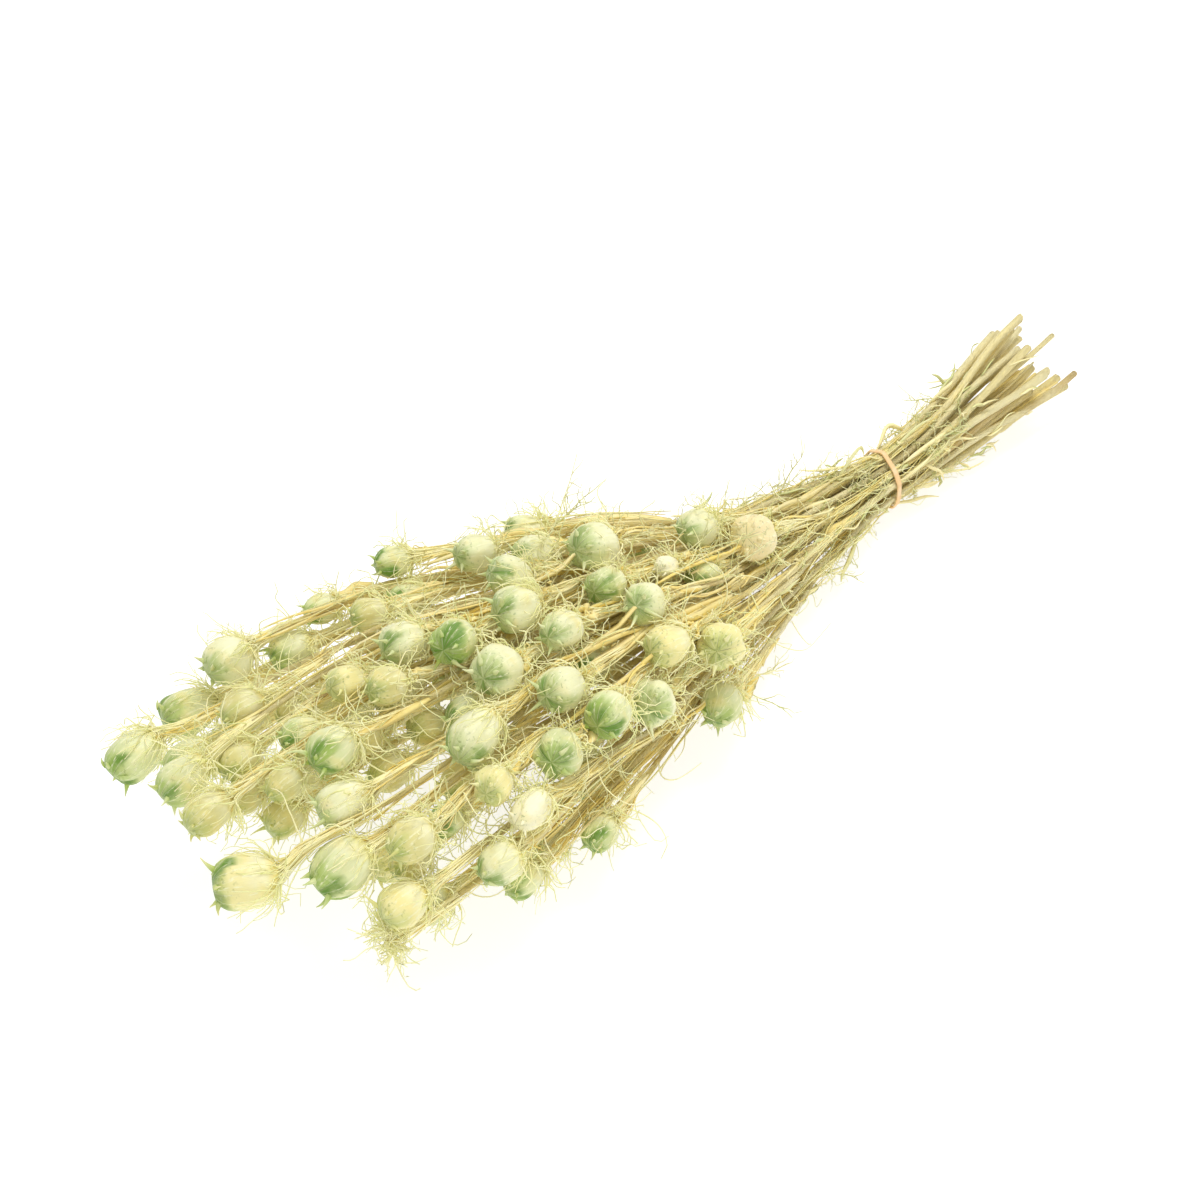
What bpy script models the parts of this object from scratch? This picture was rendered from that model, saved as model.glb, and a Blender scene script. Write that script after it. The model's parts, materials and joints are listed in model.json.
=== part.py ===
"""A tied bunch of dried nigella (love-in-a-mist) lying on its side.

Every stem is one solid with its side branches, ribbed seed pods, horned tips and thread-like
bracts, and a rubber band holds the stems together. Lengths are in millimetres until MM turns
them into metres. +X runs from the tie to the pods, +Z is up and the bunch lies on Z = 0.
"""

import itertools
import math

import bmesh
import bpy
import numpy as np
from mathutils import Matrix, Vector

MM = 0.001
SEED = 12

# The bunch: distance from the tie, half width, half height, height of its middle, sideways shift.
BUNCH = np.array([
    (-150.0, 27.0, 20.0, 25.5, -13.0),
    (-90.0, 20.0, 16.5, 21.5, -6.5),
    (-40.0, 14.5, 13.4, 18.3, -1.2),
    (-14.0, 12.6, 12.6, 17.5, 0.0),
    (14.0, 12.6, 12.6, 17.5, 0.0),
    (50.0, 19.0, 15.0, 21.0, 5.0),
    (100.0, 31.0, 19.0, 28.0, 8.0),
    (160.0, 46.0, 24.0, 35.0, 8.0),
    (220.0, 56.0, 27.0, 38.0, 8.0),
    (280.0, 64.0, 26.0, 37.0, 6.0),
    (350.0, 60.0, 20.0, 31.0, 0.0),
])
STEMS = 28
STEM_RADII = (1.5, 2.2)
TIP_RADIUS = 0.95
BRANCH_RADIUS = 1.1
CUT_ENDS = (-137.0, -106.0)
TWIST_DEG = 24.0
BRANCH_LENGTHS = (70.0, 125.0)
FIRST_FORK = 48.0

# The pods: distance from the tie, clock angle round the bunch (0 faces the viewer's lower right,
# 90 is up, 180 is the far side), how far out (1 is the bunch's skin), length and width.
PODS = [
    (345, 148, 1.00, 20.5, 16.5), (342, 112, 1.00, 19, 15), (333, 135, 0.80, 18, 14.5),
    (345, 92, 1.00, 17.5, 13), (351, 62, 1.00, 21, 18), (323, 112, 0.98, 15, 13.5),
    (330, 97, 0.55, 13, 10.5), (311, 122, 1.00, 16, 14.5), (300, 150, 1.15, 18.5, 17),
    (317, 162, 1.05, 21, 17), (277, 152, 1.10, 17, 14), (258, 150, 1.20, 13.5, 11.5),
    (250, 134, 1.05, 15.5, 13), (281, 107, 1.00, 15.5, 12.5), (297, 118, 0.85, 12.5, 11),
    (303, 104, 0.75, 15.5, 13.5), (320, 89, 1.00, 13.5, 11.5), (304, 82, 1.05, 17.5, 15),
    (311, 65, 1.00, 19, 16), (324, 48, 1.00, 21, 18), (270, 98, 0.80, 13, 11.5),
    (286, 88, 0.80, 12, 11), (276, 91, 1.00, 15.5, 13), (284, 130, 0.75, 13.5, 11),
    (226, 146, 1.35, 14.5, 12), (204, 126, 1.30, 17, 14.5), (231, 152, 1.05, 16, 12.5),
    (245, 162, 0.85, 13.5, 11), (252, 116, 0.90, 14.5, 12), (258, 103, 1.02, 17.5, 15),
    (247, 94, 1.05, 17.5, 15), (243, 76, 1.05, 19, 17), (240, 122, 0.75, 14.5, 13),
    (221, 87, 1.05, 18, 16), (221, 110, 0.90, 16.5, 14), (207, 108, 1.05, 17.5, 15),
    (201, 92, 0.70, 15, 12), (215, 74, 1.05, 16.5, 14), (209, 62, 0.85, 15, 12.5),
    (230, 58, 1.05, 18, 15.5), (223, 43, 1.02, 16.5, 15.5), (246, 41, 1.02, 17.5, 16),
    (266, 61, 1.05, 21, 16), (272, 43, 1.00, 13.5, 12.5), (256, 72, 0.70, 14, 12.5),
    (255, 54, 0.70, 14, 12), (305, 43, 0.98, 16.5, 14), (288, 38, 0.92, 12.5, 11),
    (266, 22, 1.05, 16.5, 11.5), (283, 10, 1.00, 15.5, 14), (316, 14, 1.00, 16.5, 14),
    (303, 24, 0.80, 14, 12.5), (304, -18, 0.95, 16, 13.5), (240, -22, 1.14, 14, 12.5),
    (257, -24, 1.08, 14, 11.5), (274, -20, 1.08, 15, 11), (328, -12, 1.02, 11.5, 9),
    (171, 103, 1.15, 20, 18), (182, 83, 1.02, 16.5, 14), (179, 65, 1.02, 15.5, 15.5),
    (154, 78, 1.00, 10.5, 8.5), (139, 63, 0.90, 14.5, 12.5), (127, 88, 1.10, 16.5, 15),
    (110, 72, 1.20, 19, 18), (184, 44, 1.02, 18, 14.5), (162, 32, 1.02, 18.5, 17.5),
    (197, 61, 0.75, 14.5, 12), (201, 26, 1.02, 16.5, 16), (166, -20, 1.12, 17.5, 15),
    (142, 200, 0.90, 14, 12), (124, 172, 0.85, 14.5, 11.5), (176, 138, 1.30, 16.5, 14),
    (187, 120, 1.15, 17, 14.5), (322, 90, 0.35, 14, 12.5), (286, 68, 0.40, 15.5, 13),
    (312, 200, 0.95, 18, 15), (262, 215, 0.95, 17, 14.5), (296, 245, 1.30, 17.5, 14.5),
    (216, 235, 1.42, 17.5, 15.5), (214, 300, 1.36, 16.5, 14), (172, 210, 0.90, 16, 13.5),
    (250, 270, 1.22, 15.5, 13), (292, 282, 1.22, 16.5, 14), (160, 285, 1.24, 16, 14),
    (236, 100, 0.55, 14.5, 12.5), (214, 90, 0.45, 14.5, 12.5), (264, 80, 0.45, 14.5, 12.5),
    (296, 100, 0.50, 13.5, 11.5), (190, 72, 0.60, 14, 12), (234, 18, 0.80, 14.5, 12.5),
    (150, 48, 0.85, 14, 12),
]
FLOOR_PRESS = 1.1
POD_SIDES = 10
POD_RINGS = 4
RIB = 0.06
HORN_OUT = 0.28
HORN_FORWARD = 0.26
BRACTS = 2
BRACT_RADIUS = 0.5
BRACT_FOOT = 5.0
BRACT_CLEAR = 1.3
LEAVES = 1
LEAF_SPAN = (40.0, 150.0)
LEAF_LENGTHS = (20.0, 32.0)
PATH_TOLERANCE = 0.5

# How the stems and pods settle against each other.
STATION = 5.0
POD_REACH = 2.0
SETTLE_STEPS = 400
STEM_GAP = 1.3
POD_GAP = 0.5
STRAIGHTEN = 0.4

# The rubber band, skewed a little round the stems.
BAND_WIDTH = 3.0
BAND_THICKNESS = 1.2
BAND_GAP = 0.9
BAND_SIDES = 24
BAND_SKEW_DEG = 16.0
BAND_TURN_DEG = 24.0

STRAW = (0.72, 0.62, 0.34)
PALE_GREEN = (0.70, 0.76, 0.48)
BAND_COLOUR = (0.83, 0.60, 0.31)


def bunch_at(x):
    """Half width, half height, middle height and sideways shift of the bunch at distance x."""
    return np.stack([np.interp(x, BUNCH[:, 0], BUNCH[:, c]) for c in range(1, 5)], axis=-1)


def on_disc(x, uv):
    """The point (y, z) of the bunch's section at x for a place uv on the unit disc."""
    half_width, half_height, middle, shift = np.moveaxis(bunch_at(x), -1, 0)
    return np.stack([shift + half_width * uv[..., 0], middle + half_height * uv[..., 1]], axis=-1)


def tie_slots():
    """Where the stems pass the tie: the hexagonal packing's nearest places, on the unit disc."""
    rows = range(-4, 5)
    grid = [(a + 0.5 * b, b * math.sqrt(3) / 2) for a in rows for b in rows]
    nearest = sorted(grid, key=lambda p: (round(math.hypot(*p), 6), math.atan2(p[1], p[0])))[:STEMS]
    slots = np.array(nearest)
    slots -= slots.mean(axis=0)
    return slots / np.hypot(slots[:, 0], slots[:, 1]).max()


def share_out(wishes, slots):
    """Gives every stem its pods, equally many, by swapping pairs while that shortens the ways."""
    owner = [i % len(slots) for i in range(len(wishes))]
    cost = ((wishes[:, None] - slots[None]) ** 2).sum(axis=-1)
    swapped = True
    while swapped:
        swapped = False
        for i, j in itertools.combinations(range(len(wishes)), 2):
            a, b = owner[i], owner[j]
            if cost[i, a] + cost[j, b] > cost[i, b] + cost[j, a] + 1e-9:
                owner[i], owner[j] = b, a
                swapped = True
    return owner


def smooth_step(t):
    t = np.clip(t, 0.0, 1.0)
    return t * t * (3.0 - 2.0 * t)


class Layout:
    """One path for each pod, held at fixed stations along X: its section's centre and radius."""

    def __init__(self):
        random = np.random.default_rng(SEED)
        pods = np.array(PODS, float)
        clock = np.radians(pods[:, 1])
        wishes = np.stack([pods[:, 2] * np.cos(clock), pods[:, 2] * np.sin(clock)], axis=-1)
        slots = tie_slots()
        self.pods, self.owner = pods, np.array(share_out(wishes, slots))
        self.threads = np.empty((0, 4))
        self.stem_radius = random.uniform(*STEM_RADII, STEMS)
        self.cut = random.uniform(*CUT_ENDS, STEMS)
        self.x = np.arange(BUNCH[0, 0], BUNCH[-1, 0] + 30.0, STATION)
        self.leader = [
            max(np.flatnonzero(self.owner == s), key=lambda i: pods[i, 0]) for s in range(STEMS)
        ]
        self.start = np.array([
            self.cut[s] if i == self.leader[s]
            else max(FIRST_FORK, pods[i, 0] - random.uniform(*BRANCH_LENGTHS))
            for i, s in enumerate(self.owner)
        ])
        self.end = pods[:, 0] + pods[:, 3] / 2
        self.route(slots, wishes)
        self.thicken()
        self.settle()

    def route(self, slots, wishes):
        """Each path runs from its stem's slot at the tie to its pod, turning with the bunch."""
        x = self.x[None, :]
        share = smooth_step((x - 10.0) / (self.pods[:, :1] - 30.0 - 10.0))[..., None]
        turn = np.radians(TWIST_DEG) * np.clip(x, None, 0.0) / BUNCH[0, 0]
        slot = slots[self.owner][:, None, :]
        turned = np.stack([
            slot[..., 0] * np.cos(turn) - slot[..., 1] * np.sin(turn),
            slot[..., 0] * np.sin(turn) + slot[..., 1] * np.cos(turn),
        ], axis=-1)
        self.place = on_disc(x, turned * (1 - share) + wishes[:, None, :] * share)

    def thicken(self):
        """The room that each path takes at each station: a thinning stem, then its pod."""
        x, pods = self.x[None, :], self.pods
        along = np.clip((x - self.start[:, None]) / (self.end - self.start)[:, None], 0, 1)
        led = np.array([self.leader[s] == i for i, s in enumerate(self.owner)])
        base = np.where(led, self.stem_radius[self.owner], BRANCH_RADIUS)[:, None]
        self.stalk = base + (TIP_RADIUS - base) * along
        across = (x - pods[:, :1]) / (pods[:, 3:4] / 2 + POD_REACH)
        self.in_pod = np.abs(across) < 1.0
        bulge = (pods[:, 4:5] / 2) * np.sqrt(np.clip(1.0 - np.abs(across) ** 3, 0.0, None))
        self.room = np.where(self.in_pod, np.maximum(bulge + POD_GAP, self.stalk), self.stalk)
        self.live = (x >= self.start[:, None]) & (x <= self.end[:, None] + 3.0)

    def settle(self):
        """Pushes paths apart at every station until none touch, keeping them smooth and the
        pods near their places. Forks stay on the stems that they leave."""
        count = len(self.pods)
        same = self.owner[:, None] == self.owner[None, :]
        apart = ~np.eye(count, dtype=bool)
        since = self.x[None, :] - self.start[:, None]
        fork = np.maximum(since[:, None], -1e9)[:, 0]
        ramp = np.where(same[..., None], smooth_step(np.minimum(fork[:, None], fork[None]) / 35.0), 1.0)
        pairs = self.live[:, None] & self.live[None] & apart[..., None]
        held = np.abs(self.x) <= 12.0
        gap = np.where(self.x < 25.0, 0.45, STEM_GAP)
        need = (self.room[:, None] + self.room[None] + gap) * ramp
        wish = self.place.copy()
        weight = np.where(self.in_pod, 4.0, 1.0)
        for step in range(SETTLE_STEPS):
            pull = 0.10 if step < SETTLE_STEPS * 0.65 else 0.0
            change = self.place[:, None] - self.place[None]
            distance = np.maximum(np.sqrt((change**2).sum(axis=-1)), 1e-6)
            short = np.where(pairs, np.clip(need - distance, 0.0, None), 0.0)
            part = weight[None] / (weight[:, None] + weight[None])
            move = (change / distance[..., None] * (short * part)[..., None]).sum(axis=1) * 0.6
            move += pull * (wish - self.place)
            bend = np.zeros_like(move)
            bend[:, 1:-1] = (self.place[:, 2:] + self.place[:, :-2]) / 2 - self.place[:, 1:-1]
            free = ~self.in_pod & self.live
            move += np.where(free[..., None], bend * STRAIGHTEN, 0.0)
            move[:, held] = 0.0
            for i in range(count):
                inside = self.in_pod[i]
                move[i, inside] = move[i, inside].mean(axis=0)
            self.place += move
            floor = np.where(self.in_pod, 0.0, self.stalk + 0.4)
            self.place[..., 1] = np.maximum(self.place[..., 1], floor)
            lowest = self.pods[:, 4] / 2 - FLOOR_PRESS
            for i, s in enumerate(self.owner):
                inside = self.in_pod[i]
                centre = self.place[i, inside, 1].mean()
                self.place[i, inside, 1] += max(0.0, lowest[i] - centre)
                if self.leader[s] != i:
                    before = self.x < self.start[i]
                    first = np.flatnonzero(~before)[0]
                    self.place[i, : first + 1] = self.place[self.leader[s], : first + 1]
        self.centre = np.array([
            (self.pods[i, 0], *self.place[i, self.in_pod[i]].mean(axis=0)) for i in range(count)
        ])

    def path(self, i):
        """The stalk of pod i from its start to the middle of its pod, as points and radii."""
        x0, x1 = self.start[i], self.pods[i, 0] - self.pods[i, 3] / 2 - 1.0
        xs = np.concatenate([[x0], self.x[(self.x > x0 + 1.5) & (self.x < x1)]])
        yz = np.stack([np.interp(xs, self.x, self.place[i, :, c]) for c in (0, 1)], axis=-1)
        points = np.vstack([np.column_stack([xs, yz]), self.centre[i]])
        radii = np.append(np.interp(xs, self.x, self.stalk[i]), TIP_RADIUS)
        keep = simplified(points, PATH_TOLERANCE)
        return points[keep], radii[keep]

    def on_stalk(self, i, x):
        """The point of pod i's stalk at distance x."""
        points, _ = self.path(i)
        return np.array([x, *(np.interp(x, points[:, 0], points[:, c]) for c in (1, 2))])

    def aim(self, i):
        """The way that pod i points: on along its stalk."""
        base = self.on_stalk(i, self.pods[i, 0] - self.pods[i, 3] / 2 - 14.0)
        return (self.centre[i] - base) / np.linalg.norm(self.centre[i] - base)

    def clearance(self, points, stem):
        """How far points stay from the other stems and from the floor."""
        station = np.clip(np.rint((points[:, 0] - self.x[0]) / STATION).astype(int), 0, len(self.x) - 1)
        others = self.owner != stem
        away = self.place[others][:, station] - points[None, :, 1:]
        room = np.where(self.live[others], self.room[others] - self.in_pod[others] * POD_GAP, -99.0)
        gaps = np.sqrt((away**2).sum(axis=-1)) - room[:, station]
        strange = self.threads[self.threads[:, 3] != stem, :3]
        apart = np.linalg.norm(strange[:, None] - points[None], axis=-1) - 2 * BRACT_RADIUS
        return min(gaps.min(), points[:, 2].min() + 0.5, apart.min(initial=99.0))


def simplified(points, tolerance):
    """Marks the points that a polyline needs to keep within the tolerance of them all."""
    keep = np.zeros(len(points), bool)
    keep[[0, -1]] = True
    todo = [(0, len(points) - 1)]
    while todo:
        a, b = todo.pop()
        if b - a < 2:
            continue
        share = ((points[a + 1 : b, 0] - points[a, 0]) / (points[b, 0] - points[a, 0]))[:, None]
        off = points[a + 1 : b] - (points[a] + (points[b] - points[a]) * share)
        off = np.sqrt((off**2).sum(axis=-1))
        worst = int(off.argmax())
        if off[worst] > tolerance:
            keep[a + 1 + worst] = True
            todo += [(a, a + 1 + worst), (a + 1 + worst, b)]
    return keep


def tube(name, points, radii, resolution):
    """A closed tube along the points, of the given radius at each."""
    curve = bpy.data.curves.new(name, "CURVE")
    curve.dimensions = "3D"
    curve.bevel_depth = MM
    curve.bevel_resolution = resolution
    curve.use_fill_caps = True
    spline = curve.splines.new("POLY")
    spline.points.add(len(points) - 1)
    for point, place, radius in zip(spline.points, points, radii):
        point.co = (*(place * MM), 1.0)
        point.radius = radius
    holder = bpy.data.objects.new(name, curve)
    bpy.context.scene.collection.objects.link(holder)
    evaluated = holder.evaluated_get(bpy.context.evaluated_depsgraph_get())
    mesh = bpy.data.meshes.new_from_object(evaluated)
    bpy.data.objects.remove(holder)
    bm = bmesh.new()
    bm.from_mesh(mesh)
    bmesh.ops.remove_doubles(bm, verts=bm.verts, dist=0.00001)
    bmesh.ops.recalc_face_normals(bm, faces=bm.faces)
    bm.to_mesh(mesh)
    bm.free()
    return mesh


def facing(direction, turn=0.0):
    """The rotation that brings +Z to the direction, after a turn about it."""
    return Vector(direction).to_track_quat("Z", "Y").to_matrix().to_4x4() @ Matrix.Rotation(turn, 4, "Z")


def pod_mesh(centre, direction, length, width, turn):
    """A five-lobed capsule whose lobes end in horns round its tip."""
    bm = bmesh.new()
    bmesh.ops.create_uvsphere(bm, u_segments=POD_SIDES, v_segments=POD_RINGS, radius=1.0)
    step = 2 * math.pi / POD_SIDES
    for vert in bm.verts:
        x, y, z = vert.co
        lobe = round(math.atan2(y, x) / step) % 2 == 0
        swell = 1.0 + (RIB if lobe else -RIB)
        out = math.hypot(x, y)
        vert.co = (x * swell, y * swell, z)
        if out > 0.1 and lobe and z > math.cos(math.pi / POD_RINGS) - 0.05:
            vert.co.x *= 1.0 + HORN_OUT
            vert.co.y *= 1.0 + HORN_OUT
            vert.co.z += HORN_FORWARD
        vert.co = Vector((vert.co.x * width / 2, vert.co.y * width / 2, vert.co.z * length / 2)) * MM
    bm.transform(Matrix.Translation(Vector(centre) * MM) @ facing(direction, turn))
    mesh = bpy.data.meshes.new("pod")
    bm.to_mesh(mesh)
    bm.free()
    return mesh


def needle_mesh(start, end, radius):
    """A three-sided thread that thins towards its end."""
    start, end = Vector(start) * MM, Vector(end) * MM
    bm = bmesh.new()
    bmesh.ops.create_cone(
        bm, cap_ends=True, segments=3, radius1=radius * MM, radius2=radius * 0.7 * MM,
        depth=(end - start).length,
        matrix=Matrix.Translation((start + end) / 2) @ facing(end - start),
    )
    mesh = bpy.data.meshes.new("needle")
    bm.to_mesh(mesh)
    bm.free()
    return mesh


def flare(origin, direction, ahead, aside, spread, count, layout, stem, random):
    """Ends of up to count threads that leave the origin ahead and aside where there is room."""
    frame = np.array(facing(direction).to_3x3())
    ends, angles = [], []
    first = random.uniform(0, 2 * math.pi)
    tries = first + np.arange(16) * 2 * math.pi / 16
    found = []
    for angle in tries:
        end = origin + frame @ np.array([aside * math.cos(angle), aside * math.sin(angle), ahead])
        points = origin + (end - origin) * np.linspace(0.15, 1.0, 12)[:, None]
        found.append((layout.clearance(points, stem), angle, end, points))
    for clear, angle, end, points in sorted(found, key=lambda f: -f[0]):
        apart = all(abs(math.remainder(angle - a, 2 * math.pi)) > spread for a in angles)
        if clear > BRACT_CLEAR and apart and len(ends) < count:
            ends.append(end)
            angles.append(angle)
            marked = np.column_stack([points, np.full(len(points), stem)])
            layout.threads = np.vstack([layout.threads, marked])
    return ends


def fused(name, base, pieces):
    """One solid from a base mesh and the pieces that it carries."""
    scene = bpy.context.scene.collection
    group = bpy.data.collections.new(name + "_pieces")
    scene.children.link(group)
    for piece in pieces:
        group.objects.link(bpy.data.objects.new(name + "_piece", piece))
    obj = bpy.data.objects.new(name, base)
    scene.objects.link(obj)
    union = obj.modifiers.new("fuse", "BOOLEAN")
    union.operation = "UNION"
    union.operand_type = "COLLECTION"
    union.collection = group
    slab = None
    if min(v.co.z for p in pieces for v in p.vertices) < 0.0:
        bm = bmesh.new()
        bmesh.ops.create_cube(bm, size=1.0, matrix=Matrix.Translation((0.1, 0, -0.02)) @ Matrix.Diagonal((1.0, 0.5, 0.04, 1.0)))
        slab_mesh = bpy.data.meshes.new("floor")
        bm.to_mesh(slab_mesh)
        bm.free()
        slab = bpy.data.objects.new("floor", slab_mesh)
        scene.objects.link(slab)
        cut = obj.modifiers.new("floor", "BOOLEAN")
        cut.operation = "DIFFERENCE"
        cut.object = slab
    evaluated = obj.evaluated_get(bpy.context.evaluated_depsgraph_get())
    mesh = bpy.data.meshes.new_from_object(evaluated)
    for piece in list(group.objects):
        bpy.data.objects.remove(piece)
    bpy.data.collections.remove(group)
    if slab:
        bpy.data.objects.remove(slab)
    bpy.data.objects.remove(obj)
    mesh.name = name
    return mesh


def material(name, colour, roughness):
    made = bpy.data.materials.new(name)
    made.use_nodes = True
    shader = made.node_tree.nodes["Principled BSDF"]
    shader.inputs["Base Color"].default_value = (*colour, 1.0)
    shader.inputs["Roughness"].default_value = roughness
    shader.inputs["Metallic"].default_value = 0.0
    return made


def stem_mesh(layout, s, random):
    """One stem with its side branches, pods and threads."""
    leader = layout.leader[s]
    base = tube("stem", *layout.path(leader), 0)
    pieces = []
    for i in np.flatnonzero(layout.owner == s):
        if i != leader:
            pieces.append(tube("branch", *layout.path(i), 0))
        centre, aim = layout.centre[i], layout.aim(i)
        length, width = layout.pods[i, 3], layout.pods[i, 4]
        pieces.append(pod_mesh(centre, aim, length, width, random.uniform(0, math.pi)))
        foot = layout.on_stalk(i, centre[0] - length / 2 - BRACT_FOOT)
        ends = flare(foot, aim, BRACT_FOOT + length * 0.24, width * 0.5 + 0.4, 1.2, BRACTS, layout, s, random)
        pieces += [needle_mesh(foot, end, BRACT_RADIUS) for end in ends]
    for _ in range(LEAVES):
        x = random.uniform(*LEAF_SPAN)
        place = layout.on_stalk(leader, x)
        length = random.uniform(*LEAF_LENGTHS)
        ends = flare(place, (1, 0, 0), length * 0.9, length * 0.42, 1.2, 1, layout, s, random)
        pieces += [needle_mesh(place, end, BRACT_RADIUS) for end in ends]
    return fused(f"stem_{s + 1:02d}", base, pieces)


def band_mesh(layout):
    """The rubber band: a flat strip drawn tight round the stems, skewed across them."""
    at_tie = np.abs(layout.x).argmin()
    leaders = list(layout.leader)
    centres = layout.place[leaders, at_tie]
    radii = layout.stalk[leaders, at_tie] + BAND_GAP
    middle = centres.mean(axis=0)
    angles = np.arange(BAND_SIDES) * 2 * math.pi / BAND_SIDES
    normals = np.stack([np.cos(angles), np.sin(angles)], axis=-1)
    reach = ((centres - middle) @ normals.T + radii[:, None]).max(axis=0)
    skew = math.tan(math.radians(BAND_SKEW_DEG))
    lean = math.cos(math.radians(BAND_TURN_DEG)), math.sin(math.radians(BAND_TURN_DEG))
    bm = bmesh.new()
    rings = []
    for k in range(BAND_SIDES):
        n0, n1 = normals[k], normals[(k + 1) % BAND_SIDES]
        r0, r1 = reach[k], reach[(k + 1) % BAND_SIDES]
        corner = np.linalg.solve(np.array([n0, n1]), np.array([r0, r1]))
        out = corner / np.linalg.norm(corner)
        x = skew * (corner[0] * lean[0] + corner[1] * lean[1])
        ring = []
        for side, thick in ((-1, 0), (1, 0), (1, 1), (-1, 1)):
            y, z = middle + corner + out * BAND_THICKNESS * thick
            ring.append(bm.verts.new(Vector((x + side * BAND_WIDTH / 2, y, z)) * MM))
        rings.append(ring)
    for k in range(BAND_SIDES):
        a, b = rings[k], rings[(k + 1) % BAND_SIDES]
        for c in range(4):
            d = (c + 1) % 4
            bm.faces.new((a[c], a[d], b[d], b[c]))
    bmesh.ops.recalc_face_normals(bm, faces=bm.faces)
    mesh = bpy.data.meshes.new("elastic_band")
    bm.to_mesh(mesh)
    bm.free()
    return mesh


def main():
    for obj in list(bpy.data.objects):
        bpy.data.objects.remove(obj, do_unlink=True)
    layout = Layout()
    random = np.random.default_rng(SEED + 1)
    meshes = {"elastic_band": band_mesh(layout)}
    for s in range(STEMS):
        meshes[f"stem_{s + 1:02d}"] = stem_mesh(layout, s, random)
    corners = np.array([v.co for mesh in meshes.values() for v in mesh.vertices])
    low, high = corners.min(axis=0), corners.max(axis=0)
    origin = Matrix.Translation((-(low[0] + high[0]) / 2, -(low[1] + high[1]) / 2, -low[2]))
    bunch = bpy.data.collections.new("nigella_bunch")
    bpy.context.scene.collection.children.link(bunch)
    tints = np.random.default_rng(SEED + 2)
    for name, mesh in meshes.items():
        mesh.transform(origin)
        obj = bpy.data.objects.new(name, mesh)
        bunch.objects.link(obj)
        mesh.materials.clear()
        if name == "elastic_band":
            mesh.materials.append(material("rubber_band", BAND_COLOUR, 0.6))
        else:
            green = tints.uniform(0.0, 1.0)
            colour = [a + (b - a) * green for a, b in zip(STRAW, PALE_GREEN)]
            mesh.materials.append(material(name, colour, 0.7))
        mesh.shade_flat()


if __name__ == "__main__":
    main()
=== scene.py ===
"""Looks for the tied bunch of dried nigella: papery seed capsules with horned, green-flushed
tips, thread-like bracts and leaves, net-like sheaths, hollow straw stems and a rubber band.

Paths are worked out in millimetres in the bunch's own frame (X from the tie to the pods, Z up)
and moved into the part's frame by the tie's place.
"""

import itertools
import json
import math

import bpy
import numpy as np
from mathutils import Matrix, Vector

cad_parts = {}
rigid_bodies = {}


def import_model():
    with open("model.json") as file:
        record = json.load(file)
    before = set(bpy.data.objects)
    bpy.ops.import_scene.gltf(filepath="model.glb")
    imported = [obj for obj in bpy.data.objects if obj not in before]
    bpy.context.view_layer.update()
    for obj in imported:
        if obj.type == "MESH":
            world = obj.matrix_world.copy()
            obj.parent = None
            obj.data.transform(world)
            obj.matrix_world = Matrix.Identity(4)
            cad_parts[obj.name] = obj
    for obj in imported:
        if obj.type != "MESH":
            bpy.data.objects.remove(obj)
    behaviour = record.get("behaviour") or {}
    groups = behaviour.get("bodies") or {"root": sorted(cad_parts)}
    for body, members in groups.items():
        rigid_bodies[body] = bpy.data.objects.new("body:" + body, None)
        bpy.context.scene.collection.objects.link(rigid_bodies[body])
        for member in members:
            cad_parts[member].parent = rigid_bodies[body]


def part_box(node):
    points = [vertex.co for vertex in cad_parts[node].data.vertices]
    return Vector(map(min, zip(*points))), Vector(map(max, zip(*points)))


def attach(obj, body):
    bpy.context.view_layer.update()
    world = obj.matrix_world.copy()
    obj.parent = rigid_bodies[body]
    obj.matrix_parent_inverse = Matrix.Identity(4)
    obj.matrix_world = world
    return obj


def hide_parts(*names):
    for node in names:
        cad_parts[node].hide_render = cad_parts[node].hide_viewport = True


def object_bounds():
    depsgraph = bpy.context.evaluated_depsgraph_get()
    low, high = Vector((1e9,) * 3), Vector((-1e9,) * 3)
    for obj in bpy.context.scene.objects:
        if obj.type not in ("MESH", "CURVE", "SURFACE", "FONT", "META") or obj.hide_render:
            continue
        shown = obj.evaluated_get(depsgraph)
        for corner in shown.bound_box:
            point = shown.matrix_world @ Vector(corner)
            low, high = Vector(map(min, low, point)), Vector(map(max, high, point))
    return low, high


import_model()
cad_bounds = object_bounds()

MM = 0.001
TAU = 2 * math.pi

# How far pieces may stand past the solids' box: along X, along Y and upwards.
BOX_ROOM = (6.0, 4.0, 1.6)

# Light: from all round, with a weak key above the cut ends and a floor that glows a little. Each
# lamp has a name, its place and width in metres, its power in watts and its colour.
WORLD_STRENGTH = 0.70
FLOOR_SHADE = 0.50
FLOOR_GLOW = 0.70
LIGHTS = [
    ("key", (-0.35, -0.10, 1.2), 0.6, 7.5, (1.0, 0.99, 0.96)),
    ("fill", (0.9, 0.9, 0.7), 0.9, 2.2, (1.0, 1.0, 1.0)),
]

SEED = 12

# The bunch: distance from the tie, half width, half height, height of its middle, sideways shift.
BUNCH = np.array([
    (-150.0, 27.0, 20.0, 25.5, -13.0),
    (-90.0, 20.0, 16.5, 21.5, -6.5),
    (-40.0, 14.5, 13.4, 18.3, -1.2),
    (-14.0, 12.6, 12.6, 17.5, 0.0),
    (14.0, 12.6, 12.6, 17.5, 0.0),
    (50.0, 19.0, 15.0, 21.0, 5.0),
    (100.0, 31.0, 19.0, 28.0, 8.0),
    (160.0, 46.0, 24.0, 35.0, 8.0),
    (220.0, 56.0, 27.0, 38.0, 8.0),
    (280.0, 64.0, 26.0, 37.0, 6.0),
    (350.0, 60.0, 20.0, 31.0, 0.0),
])
STEMS = 28
STEM_RADII = (1.5, 2.2)
TIP_RADIUS = 0.95
BRANCH_RADIUS = 1.1
CUT_ENDS = (-137.0, -106.0)
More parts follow.
